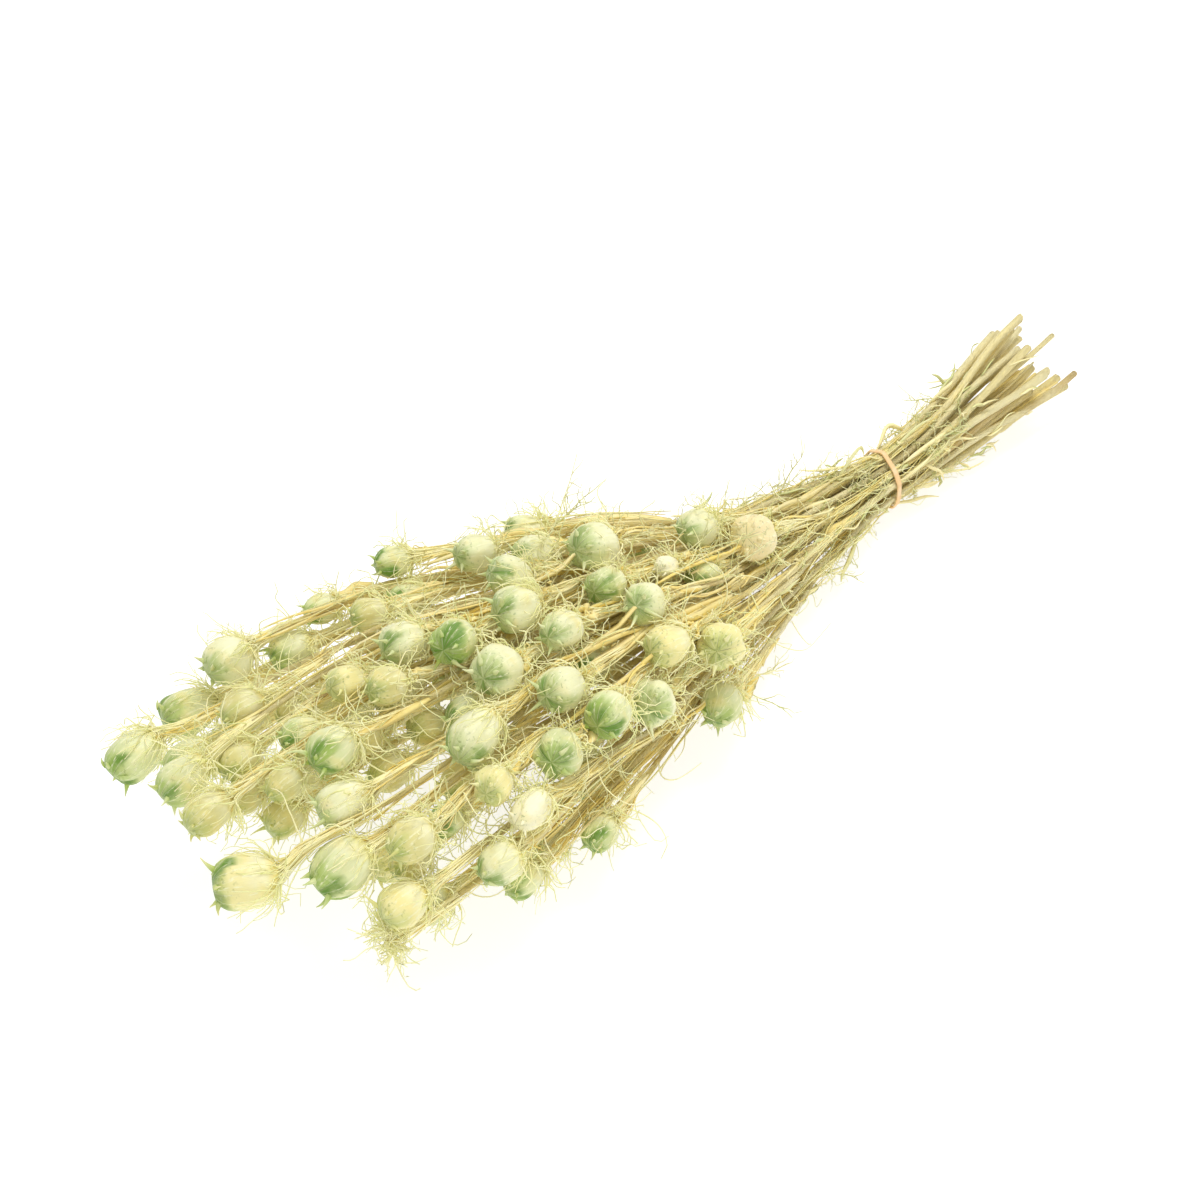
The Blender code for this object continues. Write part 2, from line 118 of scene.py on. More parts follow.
TWIST_DEG = 24.0
BRANCH_LENGTHS = (70.0, 125.0)
FIRST_FORK = 48.0

# The pods: distance from the tie, clock angle round the bunch (0 faces the viewer's lower right,
# 90 is up, 180 is the far side), how far out (1 is the bunch's skin), length and width.
PODS = [
    (345, 148, 1.00, 20.5, 16.5), (342, 112, 1.00, 19, 15), (333, 135, 0.80, 18, 14.5),
    (345, 92, 1.00, 17.5, 13), (351, 62, 1.00, 21, 18), (323, 112, 0.98, 15, 13.5),
    (330, 97, 0.55, 13, 10.5), (311, 122, 1.00, 16, 14.5), (300, 150, 1.15, 18.5, 17),
    (317, 162, 1.05, 21, 17), (277, 152, 1.10, 17, 14), (258, 150, 1.20, 13.5, 11.5),
    (250, 134, 1.05, 15.5, 13), (281, 107, 1.00, 15.5, 12.5), (297, 118, 0.85, 12.5, 11),
    (303, 104, 0.75, 15.5, 13.5), (320, 89, 1.00, 13.5, 11.5), (304, 82, 1.05, 17.5, 15),
    (311, 65, 1.00, 19, 16), (324, 48, 1.00, 21, 18), (270, 98, 0.80, 13, 11.5),
    (286, 88, 0.80, 12, 11), (276, 91, 1.00, 15.5, 13), (284, 130, 0.75, 13.5, 11),
    (226, 146, 1.35, 14.5, 12), (204, 126, 1.30, 17, 14.5), (231, 152, 1.05, 16, 12.5),
    (245, 162, 0.85, 13.5, 11), (252, 116, 0.90, 14.5, 12), (258, 103, 1.02, 17.5, 15),
    (247, 94, 1.05, 17.5, 15), (243, 76, 1.05, 19, 17), (240, 122, 0.75, 14.5, 13),
    (221, 87, 1.05, 18, 16), (221, 110, 0.90, 16.5, 14), (207, 108, 1.05, 17.5, 15),
    (201, 92, 0.70, 15, 12), (215, 74, 1.05, 16.5, 14), (209, 62, 0.85, 15, 12.5),
    (230, 58, 1.05, 18, 15.5), (223, 43, 1.02, 16.5, 15.5), (246, 41, 1.02, 17.5, 16),
    (266, 61, 1.05, 21, 16), (272, 43, 1.00, 13.5, 12.5), (256, 72, 0.70, 14, 12.5),
    (255, 54, 0.70, 14, 12), (305, 43, 0.98, 16.5, 14), (288, 38, 0.92, 12.5, 11),
    (266, 22, 1.05, 16.5, 11.5), (283, 10, 1.00, 15.5, 14), (316, 14, 1.00, 16.5, 14),
    (303, 24, 0.80, 14, 12.5), (304, -18, 0.95, 16, 13.5), (240, -22, 1.14, 14, 12.5),
    (257, -24, 1.08, 14, 11.5), (274, -20, 1.08, 15, 11), (328, -12, 1.02, 11.5, 9),
    (171, 103, 1.15, 20, 18), (182, 83, 1.02, 16.5, 14), (179, 65, 1.02, 15.5, 15.5),
    (154, 78, 1.00, 10.5, 8.5), (139, 63, 0.90, 14.5, 12.5), (127, 88, 1.10, 16.5, 15),
    (110, 72, 1.20, 19, 18), (184, 44, 1.02, 18, 14.5), (162, 32, 1.02, 18.5, 17.5),
    (197, 61, 0.75, 14.5, 12), (201, 26, 1.02, 16.5, 16), (166, -20, 1.12, 17.5, 15),
    (142, 200, 0.90, 14, 12), (124, 172, 0.85, 14.5, 11.5), (176, 138, 1.30, 16.5, 14),
    (187, 120, 1.15, 17, 14.5), (322, 90, 0.35, 14, 12.5), (286, 68, 0.40, 15.5, 13),
    (312, 200, 0.95, 18, 15), (262, 215, 0.95, 17, 14.5), (296, 245, 1.30, 17.5, 14.5),
    (216, 235, 1.42, 17.5, 15.5), (214, 300, 1.36, 16.5, 14), (172, 210, 0.90, 16, 13.5),
    (250, 270, 1.22, 15.5, 13), (292, 282, 1.22, 16.5, 14), (160, 285, 1.24, 16, 14),
    (236, 100, 0.55, 14.5, 12.5), (214, 90, 0.45, 14.5, 12.5), (264, 80, 0.45, 14.5, 12.5),
    (296, 100, 0.50, 13.5, 11.5), (190, 72, 0.60, 14, 12), (234, 18, 0.80, 14.5, 12.5),
    (150, 48, 0.85, 14, 12),
]
FLOOR_PRESS = 1.1
STATION = 5.0
POD_REACH = 2.0
SETTLE_STEPS = 400
STEM_GAP = 1.3
POD_GAP = 0.5
STRAIGHTEN = 0.4
BAND_WIDTH = 3.0
BAND_THICKNESS = 1.2
BAND_GAP = 0.9
BAND_SIDES = 24
BAND_SKEW_DEG = 16.0
BAND_TURN_DEG = 24.0

# Where paths leave their slots, how far before its pod each has come to the pod's place, the
# length of a fork, how far each way from the tie the slots are held, up to where stems lie tight
# and with what gap, and a stalk's gap to the floor.
LEAVE_SLOT = 10.0
REACH_POD = 30.0
FORK_LENGTH = 35.0
TIE_HOLD = 12.0
TIGHT_END, TIGHT_GAP = 25.0, 0.45
FLOOR_GAP = 0.4

# Each settling step's push apart, its pull back, the share of steps that pull, and a pod's weight.
PUSH = 0.6
PULL = 0.10
PULL_SHARE = 0.65
POD_WEIGHT = 4.0


def bunch_at(x):
    """Half width, half height, middle height and sideways shift of the bunch at distance x."""
    return np.stack([np.interp(x, BUNCH[:, 0], BUNCH[:, c]) for c in range(1, 5)], axis=-1)


def on_disc(x, uv):
    """The point (y, z) of the bunch's section at x for a place uv on the unit disc."""
    half_width, half_height, middle, shift = np.moveaxis(bunch_at(x), -1, 0)
    return np.stack([shift + half_width * uv[..., 0], middle + half_height * uv[..., 1]], axis=-1)


def tie_slots():
    """Where the stems pass the tie: the hexagonal packing's nearest places, on the unit disc."""
    rows = range(-4, 5)
    grid = [(a + 0.5 * b, b * math.sqrt(3) / 2) for a in rows for b in rows]
    nearest = sorted(grid, key=lambda p: (round(math.hypot(*p), 6), math.atan2(p[1], p[0])))[:STEMS]
    slots = np.array(nearest)
    slots -= slots.mean(axis=0)
    return slots / np.hypot(slots[:, 0], slots[:, 1]).max()


def share_out(wishes, slots):
    """Gives every stem its pods, equally many, by swapping pairs while that shortens the ways."""
    owner = [i % len(slots) for i in range(len(wishes))]
    cost = ((wishes[:, None] - slots[None]) ** 2).sum(axis=-1)
    swapped = True
    while swapped:
        swapped = False
        for i, j in itertools.combinations(range(len(wishes)), 2):
            a, b = owner[i], owner[j]
            if cost[i, a] + cost[j, b] > cost[i, b] + cost[j, a] + 1e-9:
                owner[i], owner[j] = b, a
                swapped = True
    return owner


def smooth_step(t):
    """0 up to t = 0 and 1 from t = 1, smooth between."""
    t = np.clip(t, 0.0, 1.0)
    return t * t * (3.0 - 2.0 * t)


class Layout:
    """One path for each pod, held at fixed stations along X: its section's centre and radius."""

    def __init__(self):
        random = np.random.default_rng(SEED)
        pods = np.array(PODS, float)
        clock = np.radians(pods[:, 1])
        wishes = np.stack([pods[:, 2] * np.cos(clock), pods[:, 2] * np.sin(clock)], axis=-1)
        slots = tie_slots()
        self.pods, self.owner = pods, np.array(share_out(wishes, slots))
        self.stem_radius = random.uniform(*STEM_RADII, STEMS)
        self.cut = random.uniform(*CUT_ENDS, STEMS)
        self.x = np.arange(BUNCH[0, 0], BUNCH[-1, 0] + 30.0, STATION)
        self.leader = [
            max(np.flatnonzero(self.owner == s), key=lambda i: pods[i, 0]) for s in range(STEMS)
        ]
        self.start = np.array([
            self.cut[s] if i == self.leader[s]
            else max(FIRST_FORK, pods[i, 0] - random.uniform(*BRANCH_LENGTHS))
            for i, s in enumerate(self.owner)
        ])
        self.end = pods[:, 0] + pods[:, 3] / 2
        self.route(slots, wishes)
        self.thicken()
        self.settle()

    def route(self, slots, wishes):
        """Each path runs from its stem's slot at the tie to its pod, turning with the bunch."""
        x = self.x[None, :]
        share = smooth_step((x - LEAVE_SLOT) / (self.pods[:, :1] - REACH_POD - LEAVE_SLOT))[..., None]
        turn = np.radians(TWIST_DEG) * np.clip(x, None, 0.0) / BUNCH[0, 0]
        slot = slots[self.owner][:, None, :]
        turned = np.stack([
            slot[..., 0] * np.cos(turn) - slot[..., 1] * np.sin(turn),
            slot[..., 0] * np.sin(turn) + slot[..., 1] * np.cos(turn),
        ], axis=-1)
        self.place = on_disc(x, turned * (1 - share) + wishes[:, None, :] * share)

    def thicken(self):
        """The room that each path takes at each station: a thinning stem, then its pod."""
        x, pods = self.x[None, :], self.pods
        along = np.clip((x - self.start[:, None]) / (self.end - self.start)[:, None], 0, 1)
        led = np.array([self.leader[s] == i for i, s in enumerate(self.owner)])
        base = np.where(led, self.stem_radius[self.owner], BRANCH_RADIUS)[:, None]
        self.stalk = base + (TIP_RADIUS - base) * along
        across = (x - pods[:, :1]) / (pods[:, 3:4] / 2 + POD_REACH)
        self.in_pod = np.abs(across) < 1.0
        bulge = (pods[:, 4:5] / 2) * np.sqrt(np.clip(1.0 - np.abs(across) ** 3, 0.0, None))
        self.room = np.where(self.in_pod, np.maximum(bulge + POD_GAP, self.stalk), self.stalk)
        self.live = (x >= self.start[:, None]) & (x <= self.end[:, None] + 3.0)

    def settle(self):
        """Pushes paths apart at every station for SETTLE_STEPS rounds, keeping them smooth and the
        pods near their places. Forks stay on the stems that they leave."""
        count = len(self.pods)
        same = self.owner[:, None] == self.owner[None, :]
        apart = ~np.eye(count, dtype=bool)
        since = self.x[None, :] - self.start[:, None]
        forked = smooth_step(np.minimum(since[:, None], since[None]) / FORK_LENGTH)
        ramp = np.where(same[..., None], forked, 1.0)
        pairs = self.live[:, None] & self.live[None] & apart[..., None]
        held = np.abs(self.x) <= TIE_HOLD
        gap = np.where(self.x < TIGHT_END, TIGHT_GAP, STEM_GAP)
        need = (self.room[:, None] + self.room[None] + gap) * ramp
        wish = self.place.copy()
        weight = np.where(self.in_pod, POD_WEIGHT, 1.0)
        for step in range(SETTLE_STEPS):
            pull = PULL if step < SETTLE_STEPS * PULL_SHARE else 0.0
            change = self.place[:, None] - self.place[None]
            distance = np.maximum(np.sqrt((change**2).sum(axis=-1)), 1e-6)
            short = np.where(pairs, np.clip(need - distance, 0.0, None), 0.0)
            part = weight[None] / (weight[:, None] + weight[None])
            move = (change / distance[..., None] * (short * part)[..., None]).sum(axis=1) * PUSH
            move += pull * (wish - self.place)
            bend = np.zeros_like(move)
            bend[:, 1:-1] = (self.place[:, 2:] + self.place[:, :-2]) / 2 - self.place[:, 1:-1]
            free = ~self.in_pod & self.live
            move += np.where(free[..., None], bend * STRAIGHTEN, 0.0)
            move[:, held] = 0.0
            for i in range(count):
                inside = self.in_pod[i]
                move[i, inside] = move[i, inside].mean(axis=0)
            self.place += move
            floor = np.where(self.in_pod, 0.0, self.stalk + FLOOR_GAP)
            self.place[..., 1] = np.maximum(self.place[..., 1], floor)
            lowest = self.pods[:, 4] / 2 - FLOOR_PRESS
            for i, s in enumerate(self.owner):
                inside = self.in_pod[i]
                centre = self.place[i, inside, 1].mean()
                self.place[i, inside, 1] += max(0.0, lowest[i] - centre)
                if self.leader[s] != i:
                    before = self.x < self.start[i]
                    first = np.flatnonzero(~before)[0]
                    self.place[i, : first + 1] = self.place[self.leader[s], : first + 1]
        self.centre = np.array([
            (self.pods[i, 0], *self.place[i, self.in_pod[i]].mean(axis=0)) for i in range(count)
        ])


# How the drawn stalks leave the settled paths: a slow sway, and the cut ends parted in two
# bundles, told apart by where they lie at one station.
SWAY = 1.3
SWAY_RATES = (0.047, 0.061)
END_STATION = 6
PARTING = 2.6
PARTING_WAY = np.array([-0.64, 0.77])


class Bunch(Layout):
    """The settled stalks as arrays to draw along."""

    def __init__(self):
        super().__init__()
        random = np.random.default_rng(19)
        self.phase = random.uniform(0, TAU, (STEMS, 2))[self.owner]
        self.parent = np.array(self.leader)[self.owner]
        ends = self.place[self.parent, END_STATION]
        self.half = np.sign((ends - ends.mean(axis=0)) @ PARTING_WAY)
        base = self.at(np.arange(len(self.pods)), self.centre[:, 0] - self.pods[:, 3] / 2 - 14.0)
        self.axis = unit(self.centre - base)
        self.tie = self.tie_lines()

    def tie_lines(self):
        """The middle of the stems at the tie, the directions round it, how far a line square to
        each can be moved in until it touches the stems, and the band's slant along X."""
        at_tie = np.abs(self.x).argmin()
        centres = self.place[self.leader, at_tie]
        radii = self.stalk[self.leader, at_tie] + BAND_GAP
        middle = centres.mean(axis=0)
        angles = circle(BAND_SIDES)
        normals = np.stack([np.cos(angles), np.sin(angles)], axis=-1)
        reach = ((centres - middle) @ normals.T + radii[:, None]).max(axis=0)
        turn = math.radians(BAND_TURN_DEG)
        slant = math.tan(math.radians(BAND_SKEW_DEG)) * np.array([math.cos(turn), math.sin(turn)])
        return middle, normals, reach, slant

    def held(self, path):
        """Draws loose pieces in under the band where they pass the tie."""
        middle, normals, reach, slant = self.tie
        off = path[..., 1:] - middle
        size = (off @ normals.T / reach).max(axis=-1)
        room = 0.90 + ((path[..., 0] - off @ slant) / 15.0) ** 2
        off = off * np.minimum(1.0, room / np.maximum(size, 1e-6))[..., None]
        return np.concatenate([path[..., :1], middle + off], axis=-1)

    def at(self, which, x):
        """Points of the given pods' stalks at distances x, read between the stations."""
        which, x = np.broadcast_arrays(which, x)
        spot = np.clip((x - self.x[0]) / STATION, 0.0, len(self.x) - 1.001)
        low = spot.astype(int)
        share = (spot - low)[..., None]
        yz = self.place[which, low] * (1 - share) + self.place[which, low + 1] * share
        swing = smooth_step(np.abs(x) / 60) * smooth_step((self.centre[which, 0] - x - 10) / 50)
        yz = yz + SWAY * swing[..., None] * np.sin(x[..., None] * SWAY_RATES + self.phase[which])
        parted = PARTING * smooth_step((-x - 25) / 80) * self.half[which]
        return np.concatenate([x[..., None], yz + parted[..., None] * PARTING_WAY], axis=-1)

    def width_at(self, which, x):
        """The radius of the given pods' stalks at distances x."""
        which, x = np.broadcast_arrays(which, x)
        spot = np.rint((x - self.x[0]) / STATION).astype(int).clip(0, len(self.x) - 1)
        return self.stalk[which, spot]


def circle(count):
    """Angles evenly spaced all the way round."""
    return np.arange(count) * TAU / count


def unit(v):
    """The directions of vectors, at length 1."""
    return v / np.maximum(np.linalg.norm(v, axis=-1, keepdims=True), 1e-9)


def ease(values, rounds):
    """Smooths paths (..., points, 3) by averaging neighbours, with the ends held."""
    values = values.copy()
    for _ in range(rounds):
        values[..., 1:-1, :] = (values[..., :-2, :] + 2 * values[..., 1:-1, :] + values[..., 2:, :]) / 4
    return values


def indoors(path, gap):
    """Keeps a path above the floor and inside the solids' box, give or take BOX_ROOM."""
    low = np.array(cad_bounds[0]) / MM - SHIFT - (BOX_ROOM[0], BOX_ROOM[1], -gap)
    high = np.array(cad_bounds[1]) / MM - SHIFT + BOX_ROOM
    return np.clip(path, low, high)


def frames(points):
    """Tangent and two side directions along each path: the first side is the tangent crossed
    with the axis that the whole path follows least."""
    tangent = unit(np.gradient(points, axis=-2))
    least = np.abs(tangent.mean(axis=-2)).argmin(axis=-1)
    away = np.eye(3)[least][..., None, :]
    side = unit(np.cross(tangent, away))
    return tangent, side, np.cross(tangent, side)


def rings(points, radii, sides, flutes=1.0):
    """Corners of tubes: path point + radius * flutes(a) * (cos a * side + sin a * other side)."""
    _, side, other = frames(points)
    angle = circle(sides)
    reach = radii[..., None] * flutes
    return (
        points[..., None, :]
        + (reach * np.cos(angle))[..., None] * side[..., None, :]
        + (reach * np.sin(angle))[..., None] * other[..., None, :]
    )


class Surface:
    """Collects closed tubes and capsules, with a colour and a grain vector at every corner."""

    def __init__(self):
        self.corners, self.colours, self.grains, self.quads, self.caps = [], [], [], [], []
        self.count = 0

    def add(self, corners, colours, grains=(0.0, 0.0, 0.0), closed=False):
        """Corners (pieces, rings, sides, 3) become quads round each piece, with a cap at both
        ends or, in a closed loop, quads from its last ring to its first."""
        pieces, ring_count, sides, _ = corners.shape
        index = np.arange(pieces * ring_count * sides).reshape(pieces, ring_count, sides)
        index += self.count
        ahead = np.roll(index, -1, axis=2)
        quads = np.stack([index, ahead, np.roll(ahead, -1, axis=1), np.roll(index, -1, axis=1)], axis=-1)
        if not closed:
            quads = quads[:, :-1]
            self.caps += index[:, 0, ::-1].tolist() + index[:, -1].tolist()
        self.quads += quads.reshape(-1, 4).tolist()
        shape = corners.shape[:3]
        self.corners.append(corners.reshape(-1, 3))
        self.colours.append(np.broadcast_to(colours, (*shape, 3)).reshape(-1, 3))
        self.grains.append(np.broadcast_to(grains, (*shape, 3)).reshape(-1, 3))
        self.count += pieces * ring_count * sides

    def make(self, name, material, slot):
        """The mesh object, in metres in the part's frame, riding on the part."""
        corners = (np.concatenate(self.corners) + SHIFT) * MM
        mesh = bpy.data.meshes.new(name)
        mesh.from_pydata(corners, [], self.quads + self.caps)
        colour = mesh.attributes.new("tint", "FLOAT_COLOR", "POINT")
        rgba = np.column_stack([np.concatenate(self.colours), np.ones(self.count)])
        colour.data.foreach_set("color", rgba.astype(np.float32).ravel())
        grain = mesh.attributes.new("grain", "FLOAT_VECTOR", "POINT")
        grain.data.foreach_set("vector", np.concatenate(self.grains).astype(np.float32).ravel())
        mesh.validate()
        mesh.materials.append(material)
        mesh.shade_smooth()
        obj = bpy.data.objects.new(name, mesh)
        bpy.context.scene.collection.objects.link(obj)
        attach(obj, "root")
        return obj


def srgb(red, green, blue):
    """Linear colour of screen values from 0 to 255."""
    c = np.array([red, green, blue]) / 255.0
    return np.where(c <= 0.04045, c / 12.92, ((c + 0.055) / 1.055) ** 2.4)


# The husks, by letter: their colour, and how much green has flushed their tips.
HUSKS = {
    "c": (srgb(238, 238, 192), 0.65), "g": (srgb(228, 231, 176), 0.85),
    "G": (srgb(222, 228, 172), 1.0), "k": (srgb(216, 221, 164), 0.75),
    "y": (srgb(246, 236, 168), 0.45), "s": (srgb(224, 216, 146), 0.5),
    "b": (srgb(255, 250, 216), 0.12), "o": (srgb(246, 228, 176), 0.1),
    "e": (srgb(240, 234, 180), 0.1), "Y": (srgb(246, 236, 172), 0.95),
}
LEAF_GREEN = srgb(152, 183, 66)
DEEP_GREEN = srgb(84, 132, 28)
STRAW_PALE = srgb(251, 239, 182)
STRAW_GOLD = srgb(247, 222, 124)
STRAW_BROWN = srgb(206, 170, 90)
THREAD_STRAW = srgb(255, 250, 198)
THREAD_GREEN = srgb(240, 243, 174)
LEAF_GREY = srgb(212, 216, 148)
# Painted shade inside the hollow cut ends.
HOLLOW_SHADE = srgb(170, 138, 82)
BAND_SALMON = srgb(246, 206, 150)

# Each pod's husk, in the order of PODS. The one without a capsule is only a tuft.
POD_HUES = (
    "GgksYsssckggsysgsGcGsyscgcgsbcGcscgcscGcGkcyGssGbcyskkcgeckcbkcoyysckbkccsscgcscksyc"
    "csyscky"
)
EMPTY = POD_HUES.index("e")

# How much some pods' axes are tipped towards the viewer, by the pod's place in PODS.
FACING = {59: 0.9, 63: 0.9, 65: 0.8, 67: 0.6, 39: 0.35, 41: 0.35, 43: 0.4, 47: 0.8}

# The camera, in the bunch's frame: where it stands, what it looks at, and its lens.
CAMERA = (501.1, 352.8, 450.0)
AIM = (135.5, -39.3, 0.0)
LENS = 49.35
SENSOR = 36.0


def mixed(a, b, share):
    """Colour a turned towards colour b by share, at every place that share is given for."""
    return a + (b - a) * np.asarray(share)[..., None]


def drawer(random, *shape):
    """A function that draws a number between two limits for each piece."""
    return lambda low, high: random.uniform(low, high, shape)


def ripple(seed, *where):
    """A smooth wavering field between about -1 and 1: a sum of sines of the coordinates."""
    random = np.random.default_rng(seed)
    total = 0.0
    for _ in range(4):
        phase = random.uniform(0, TAU)
        total = total + np.sin(sum(random.normal(0, 1.4) * w for w in where) + phase)
    return total / 2.6


# The seed capsules.
LOBES = 5
POD_SIDES = 40
POD_RINGS = 18
PLUMP = 1.04
RIM = 0.84


def pod_axes(bunch):
    """Each pod's axis, tipped a little at random and, for some, towards the viewer."""
    random = np.random.default_rng(21)
    axis = bunch.axis + random.normal(0, 0.13, (len(bunch.pods), 3))
    viewer = unit(np.array(CAMERA) - bunch.centre)
    for i, amount in FACING.items():
        axis[i] += viewer[i] * amount
    return unit(axis)


def side_pair(axes, turn):
    """Two directions square to each axis, turned about it."""
    away = np.where(np.abs(axes[:, 2:3]) < 0.8, [[0.0, 0.0, 1.0]], [[0.0, 1.0, 0.0]])
    out = unit(np.cross(axes, away))
    up = np.cross(axes, out)
    c, s = np.cos(turn)[:, None], np.sin(turn)[:, None]
    return out * c + up * s, up * c - out * s


class Capsules:
    """The five-lobed capsules. With t from base (0) to tip (1) and a round the axis, a corner is
    height(t) along the axis and radius(t) * swell(a, t) away from it."""

    def __init__(self, bunch, axes):
        self.random = np.random.default_rng(22)
        self.centre, self.axes, self.count = bunch.centre, axes, len(axes)
        self.whole = np.arange(self.count) != EMPTY
        self.length, self.width = PLUMP * bunch.pods[:, 3:, None, None].swapaxes(0, 1)
        self.out, self.up = side_pair(axes, self.random.uniform(0, TAU, self.count))
        self.full, self.seed = self.each(0.82, 0.98), self.each(0, 50)
        self.egg, self.depth = self.each(-0.12, 0.18), self.each(0.06, 0.15)
        self.keel, self.flat = self.each(0.01, 0.07), self.each(0.0, 0.06)
        self.husk = np.array([HUSKS[h][0] for h in POD_HUES])[:, None, None]
        self.flush = np.array([HUSKS[h][1] for h in POD_HUES])[:, None, None]

    def each(self, low, high):
        """A number between two limits for each capsule."""
        return self.random.uniform(low, high, self.count)[:, None, None]

    def flattened(self, height):
        """Heights from -1 to 1 with the tip pressed in a little."""
        return height - self.flat * smooth_step((height - 0.55) / 0.45)

    def add_walls(self, husks):
        """The closed walls, with their tint and the grain that the husk's material reads."""
        a = circle(POD_SIDES)
        polar = math.pi * (1 - np.linspace(0.004, 0.996, POD_RINGS)[None, :, None])
        height = np.cos(polar)
        cosine, sine = np.cos(a), np.sin(a)

        def field(number, across, along, step):
            return ripple(number, across * cosine, across * sine, along * height, step * self.seed)

        radius = np.sin(polar).clip(1e-4) ** self.full * (1 + self.egg * height)
        lobe = np.abs(np.cos(LOBES * a / 2)) ** 0.65
        tip = smooth_step((height - 0.45) / 0.5)
        swell = 1.0 - self.depth * smooth_step((height + 1.0) / 0.9) * (1.0 - lobe) * (1 + 1.6 * tip)
        swell = swell + 0.05 * field(5, 1.8, 2.4, 1)
        keel = np.exp(-((np.sin(LOBES * a / 2) / 0.25) ** 2))
        swell = swell + self.keel * keel * smooth_step((height + 0.3) / 0.7)
        rho = radius * swell * self.width / 2
        z = self.flattened(height) * self.length / 2
        z = z - 0.05 * smooth_step((height - 0.9) / 0.1) * self.width / 2
        out, up, axes, centre = (v[:, None, None] for v in (self.out, self.up, self.axes, self.centre))
        arm = cosine[:, None] * out + sine[:, None] * up
        corners = indoors(centre + z[..., None] * axes + rho[..., None] * arm, 0.0)
        grain = np.stack(np.broadcast_arrays(
            np.cos(LOBES * a) + 0 * self.seed * height, np.sin(LOBES * a), height
        ), axis=-1)
        colour = self.tint(a, height, field)
        husks.add(corners[self.whole], colour[self.whole], grain[self.whole])

    def tint(self, a, height, field):
        """Pale husk turning green towards the tip, further down on some lobes than on others.
        The lower half is lighter, partly the husk's own paler base and partly painted highlight.
        """
        flush = self.flush
        sector = np.round(LOBES * a / TAU) % LOBES
        greedy = np.sin(self.seed * 7.0 + sector * 2.4) * 0.5 + 0.5
        start = 0.55 - 0.65 * flush * (0.5 + 0.5 * greedy)
        cap = height + 0.30 * field(8, 2.6, 2.0, 3)
        green = flush * smooth_step((cap - start) / 0.6) * (0.72 + 0.28 * greedy)
        deep = smooth_step((field(12, 2.3, 2.4, 5) + 0.2) / 0.7) * smooth_step((green - 0.30) / 0.45)
        warm = smooth_step((field(14, 2, 2, 7) - 0.2) / 0.7)
        # pale: the lower half whitened, partly the husk's own paler base, partly painted highlight.
        pale = smooth_step((0.25 - height) / 0.9) * smooth_step((height + 0.95) / 0.5)
        shade = smooth_step((height - 0.55) / 0.45) * smooth_step(flush / 0.6)
        colour = mixed(self.husk, srgb(252, 251, 224), 0.6 * pale)
        colour = mixed(colour, srgb(248, 230, 150), 0.4 * warm * (1 - green))
        colour = mixed(colour, LEAF_GREEN, 0.85 * green)
        colour = mixed(colour, DEEP_GREEN, 0.85 * deep * smooth_step((flush + 0.1) / 0.8))
        colour = mixed(colour, DEEP_GREEN, 0.35 * shade)
        return mixed(colour, STRAW_GOLD, 0.45 * smooth_step((-0.55 - height) / 0.4))

    def add_horns(self, bunch, horns):
        """A horn on each lobe: it leaves the rim of the tip outwards, tapers and curls."""
        random, whole = self.random, self.whole
        s = np.linspace(0, 1, 7)
        rim = math.acos(RIM)
        shape = (self.count, LOBES, 1)
        tall = np.where(random.uniform(size=shape) < 0.18, 1.8, 1.0)
        reach = random.uniform(0.18, 0.36, shape) * bunch.pods[:, 4, None, None] * tall
        lean = random.uniform(0.4, 1.5, shape)
        bend = random.uniform(-1.1, 1.3, shape)
        angle = circle(LOBES) + random.normal(0, 0.08, shape[:2])
        arm = np.cos(angle)[..., None] * self.out[:, None] + np.sin(angle)[..., None] * self.up[:, None]
        foot_out = math.sin(rim) ** self.full * (1 + self.egg * RIM) * 0.96 * self.width / 2
        foot_up = self.flattened(RIM) * self.length / 2
        foot = self.centre[:, None] + arm * foot_out + self.axes[:, None] * foot_up
        theta = lean + bend * s
        step = np.stack([np.sin(theta), np.cos(theta)], axis=-1) * (reach[..., None] / len(s))
        run = np.cumsum(step, axis=2) - step[:, :, :1] * 1.6
        path = foot[:, :, None] + arm[:, :, None] * run[..., :1]
        path = path + self.axes[:, None, None] * run[..., 1:]
        path = indoors(path[whole].reshape(-1, len(s), 3), 0.4)
        size = np.repeat(bunch.pods[whole, 4] / 16.0, LOBES)[:, None]
        thick = (0.95 * (1 - s) ** 1.3 + 0.15) * size
        fresh = np.repeat(self.flush[whole, 0], LOBES, axis=0)[:, None] * (1 - 0.8 * s[None, :, None])
        pale = np.repeat(self.husk[whole, 0], LOBES, axis=0)[:, None]
        horns.add(rings(path, thick, 5), mixed(pale * 0.96, LEAF_GREEN, 0.95 * fresh))


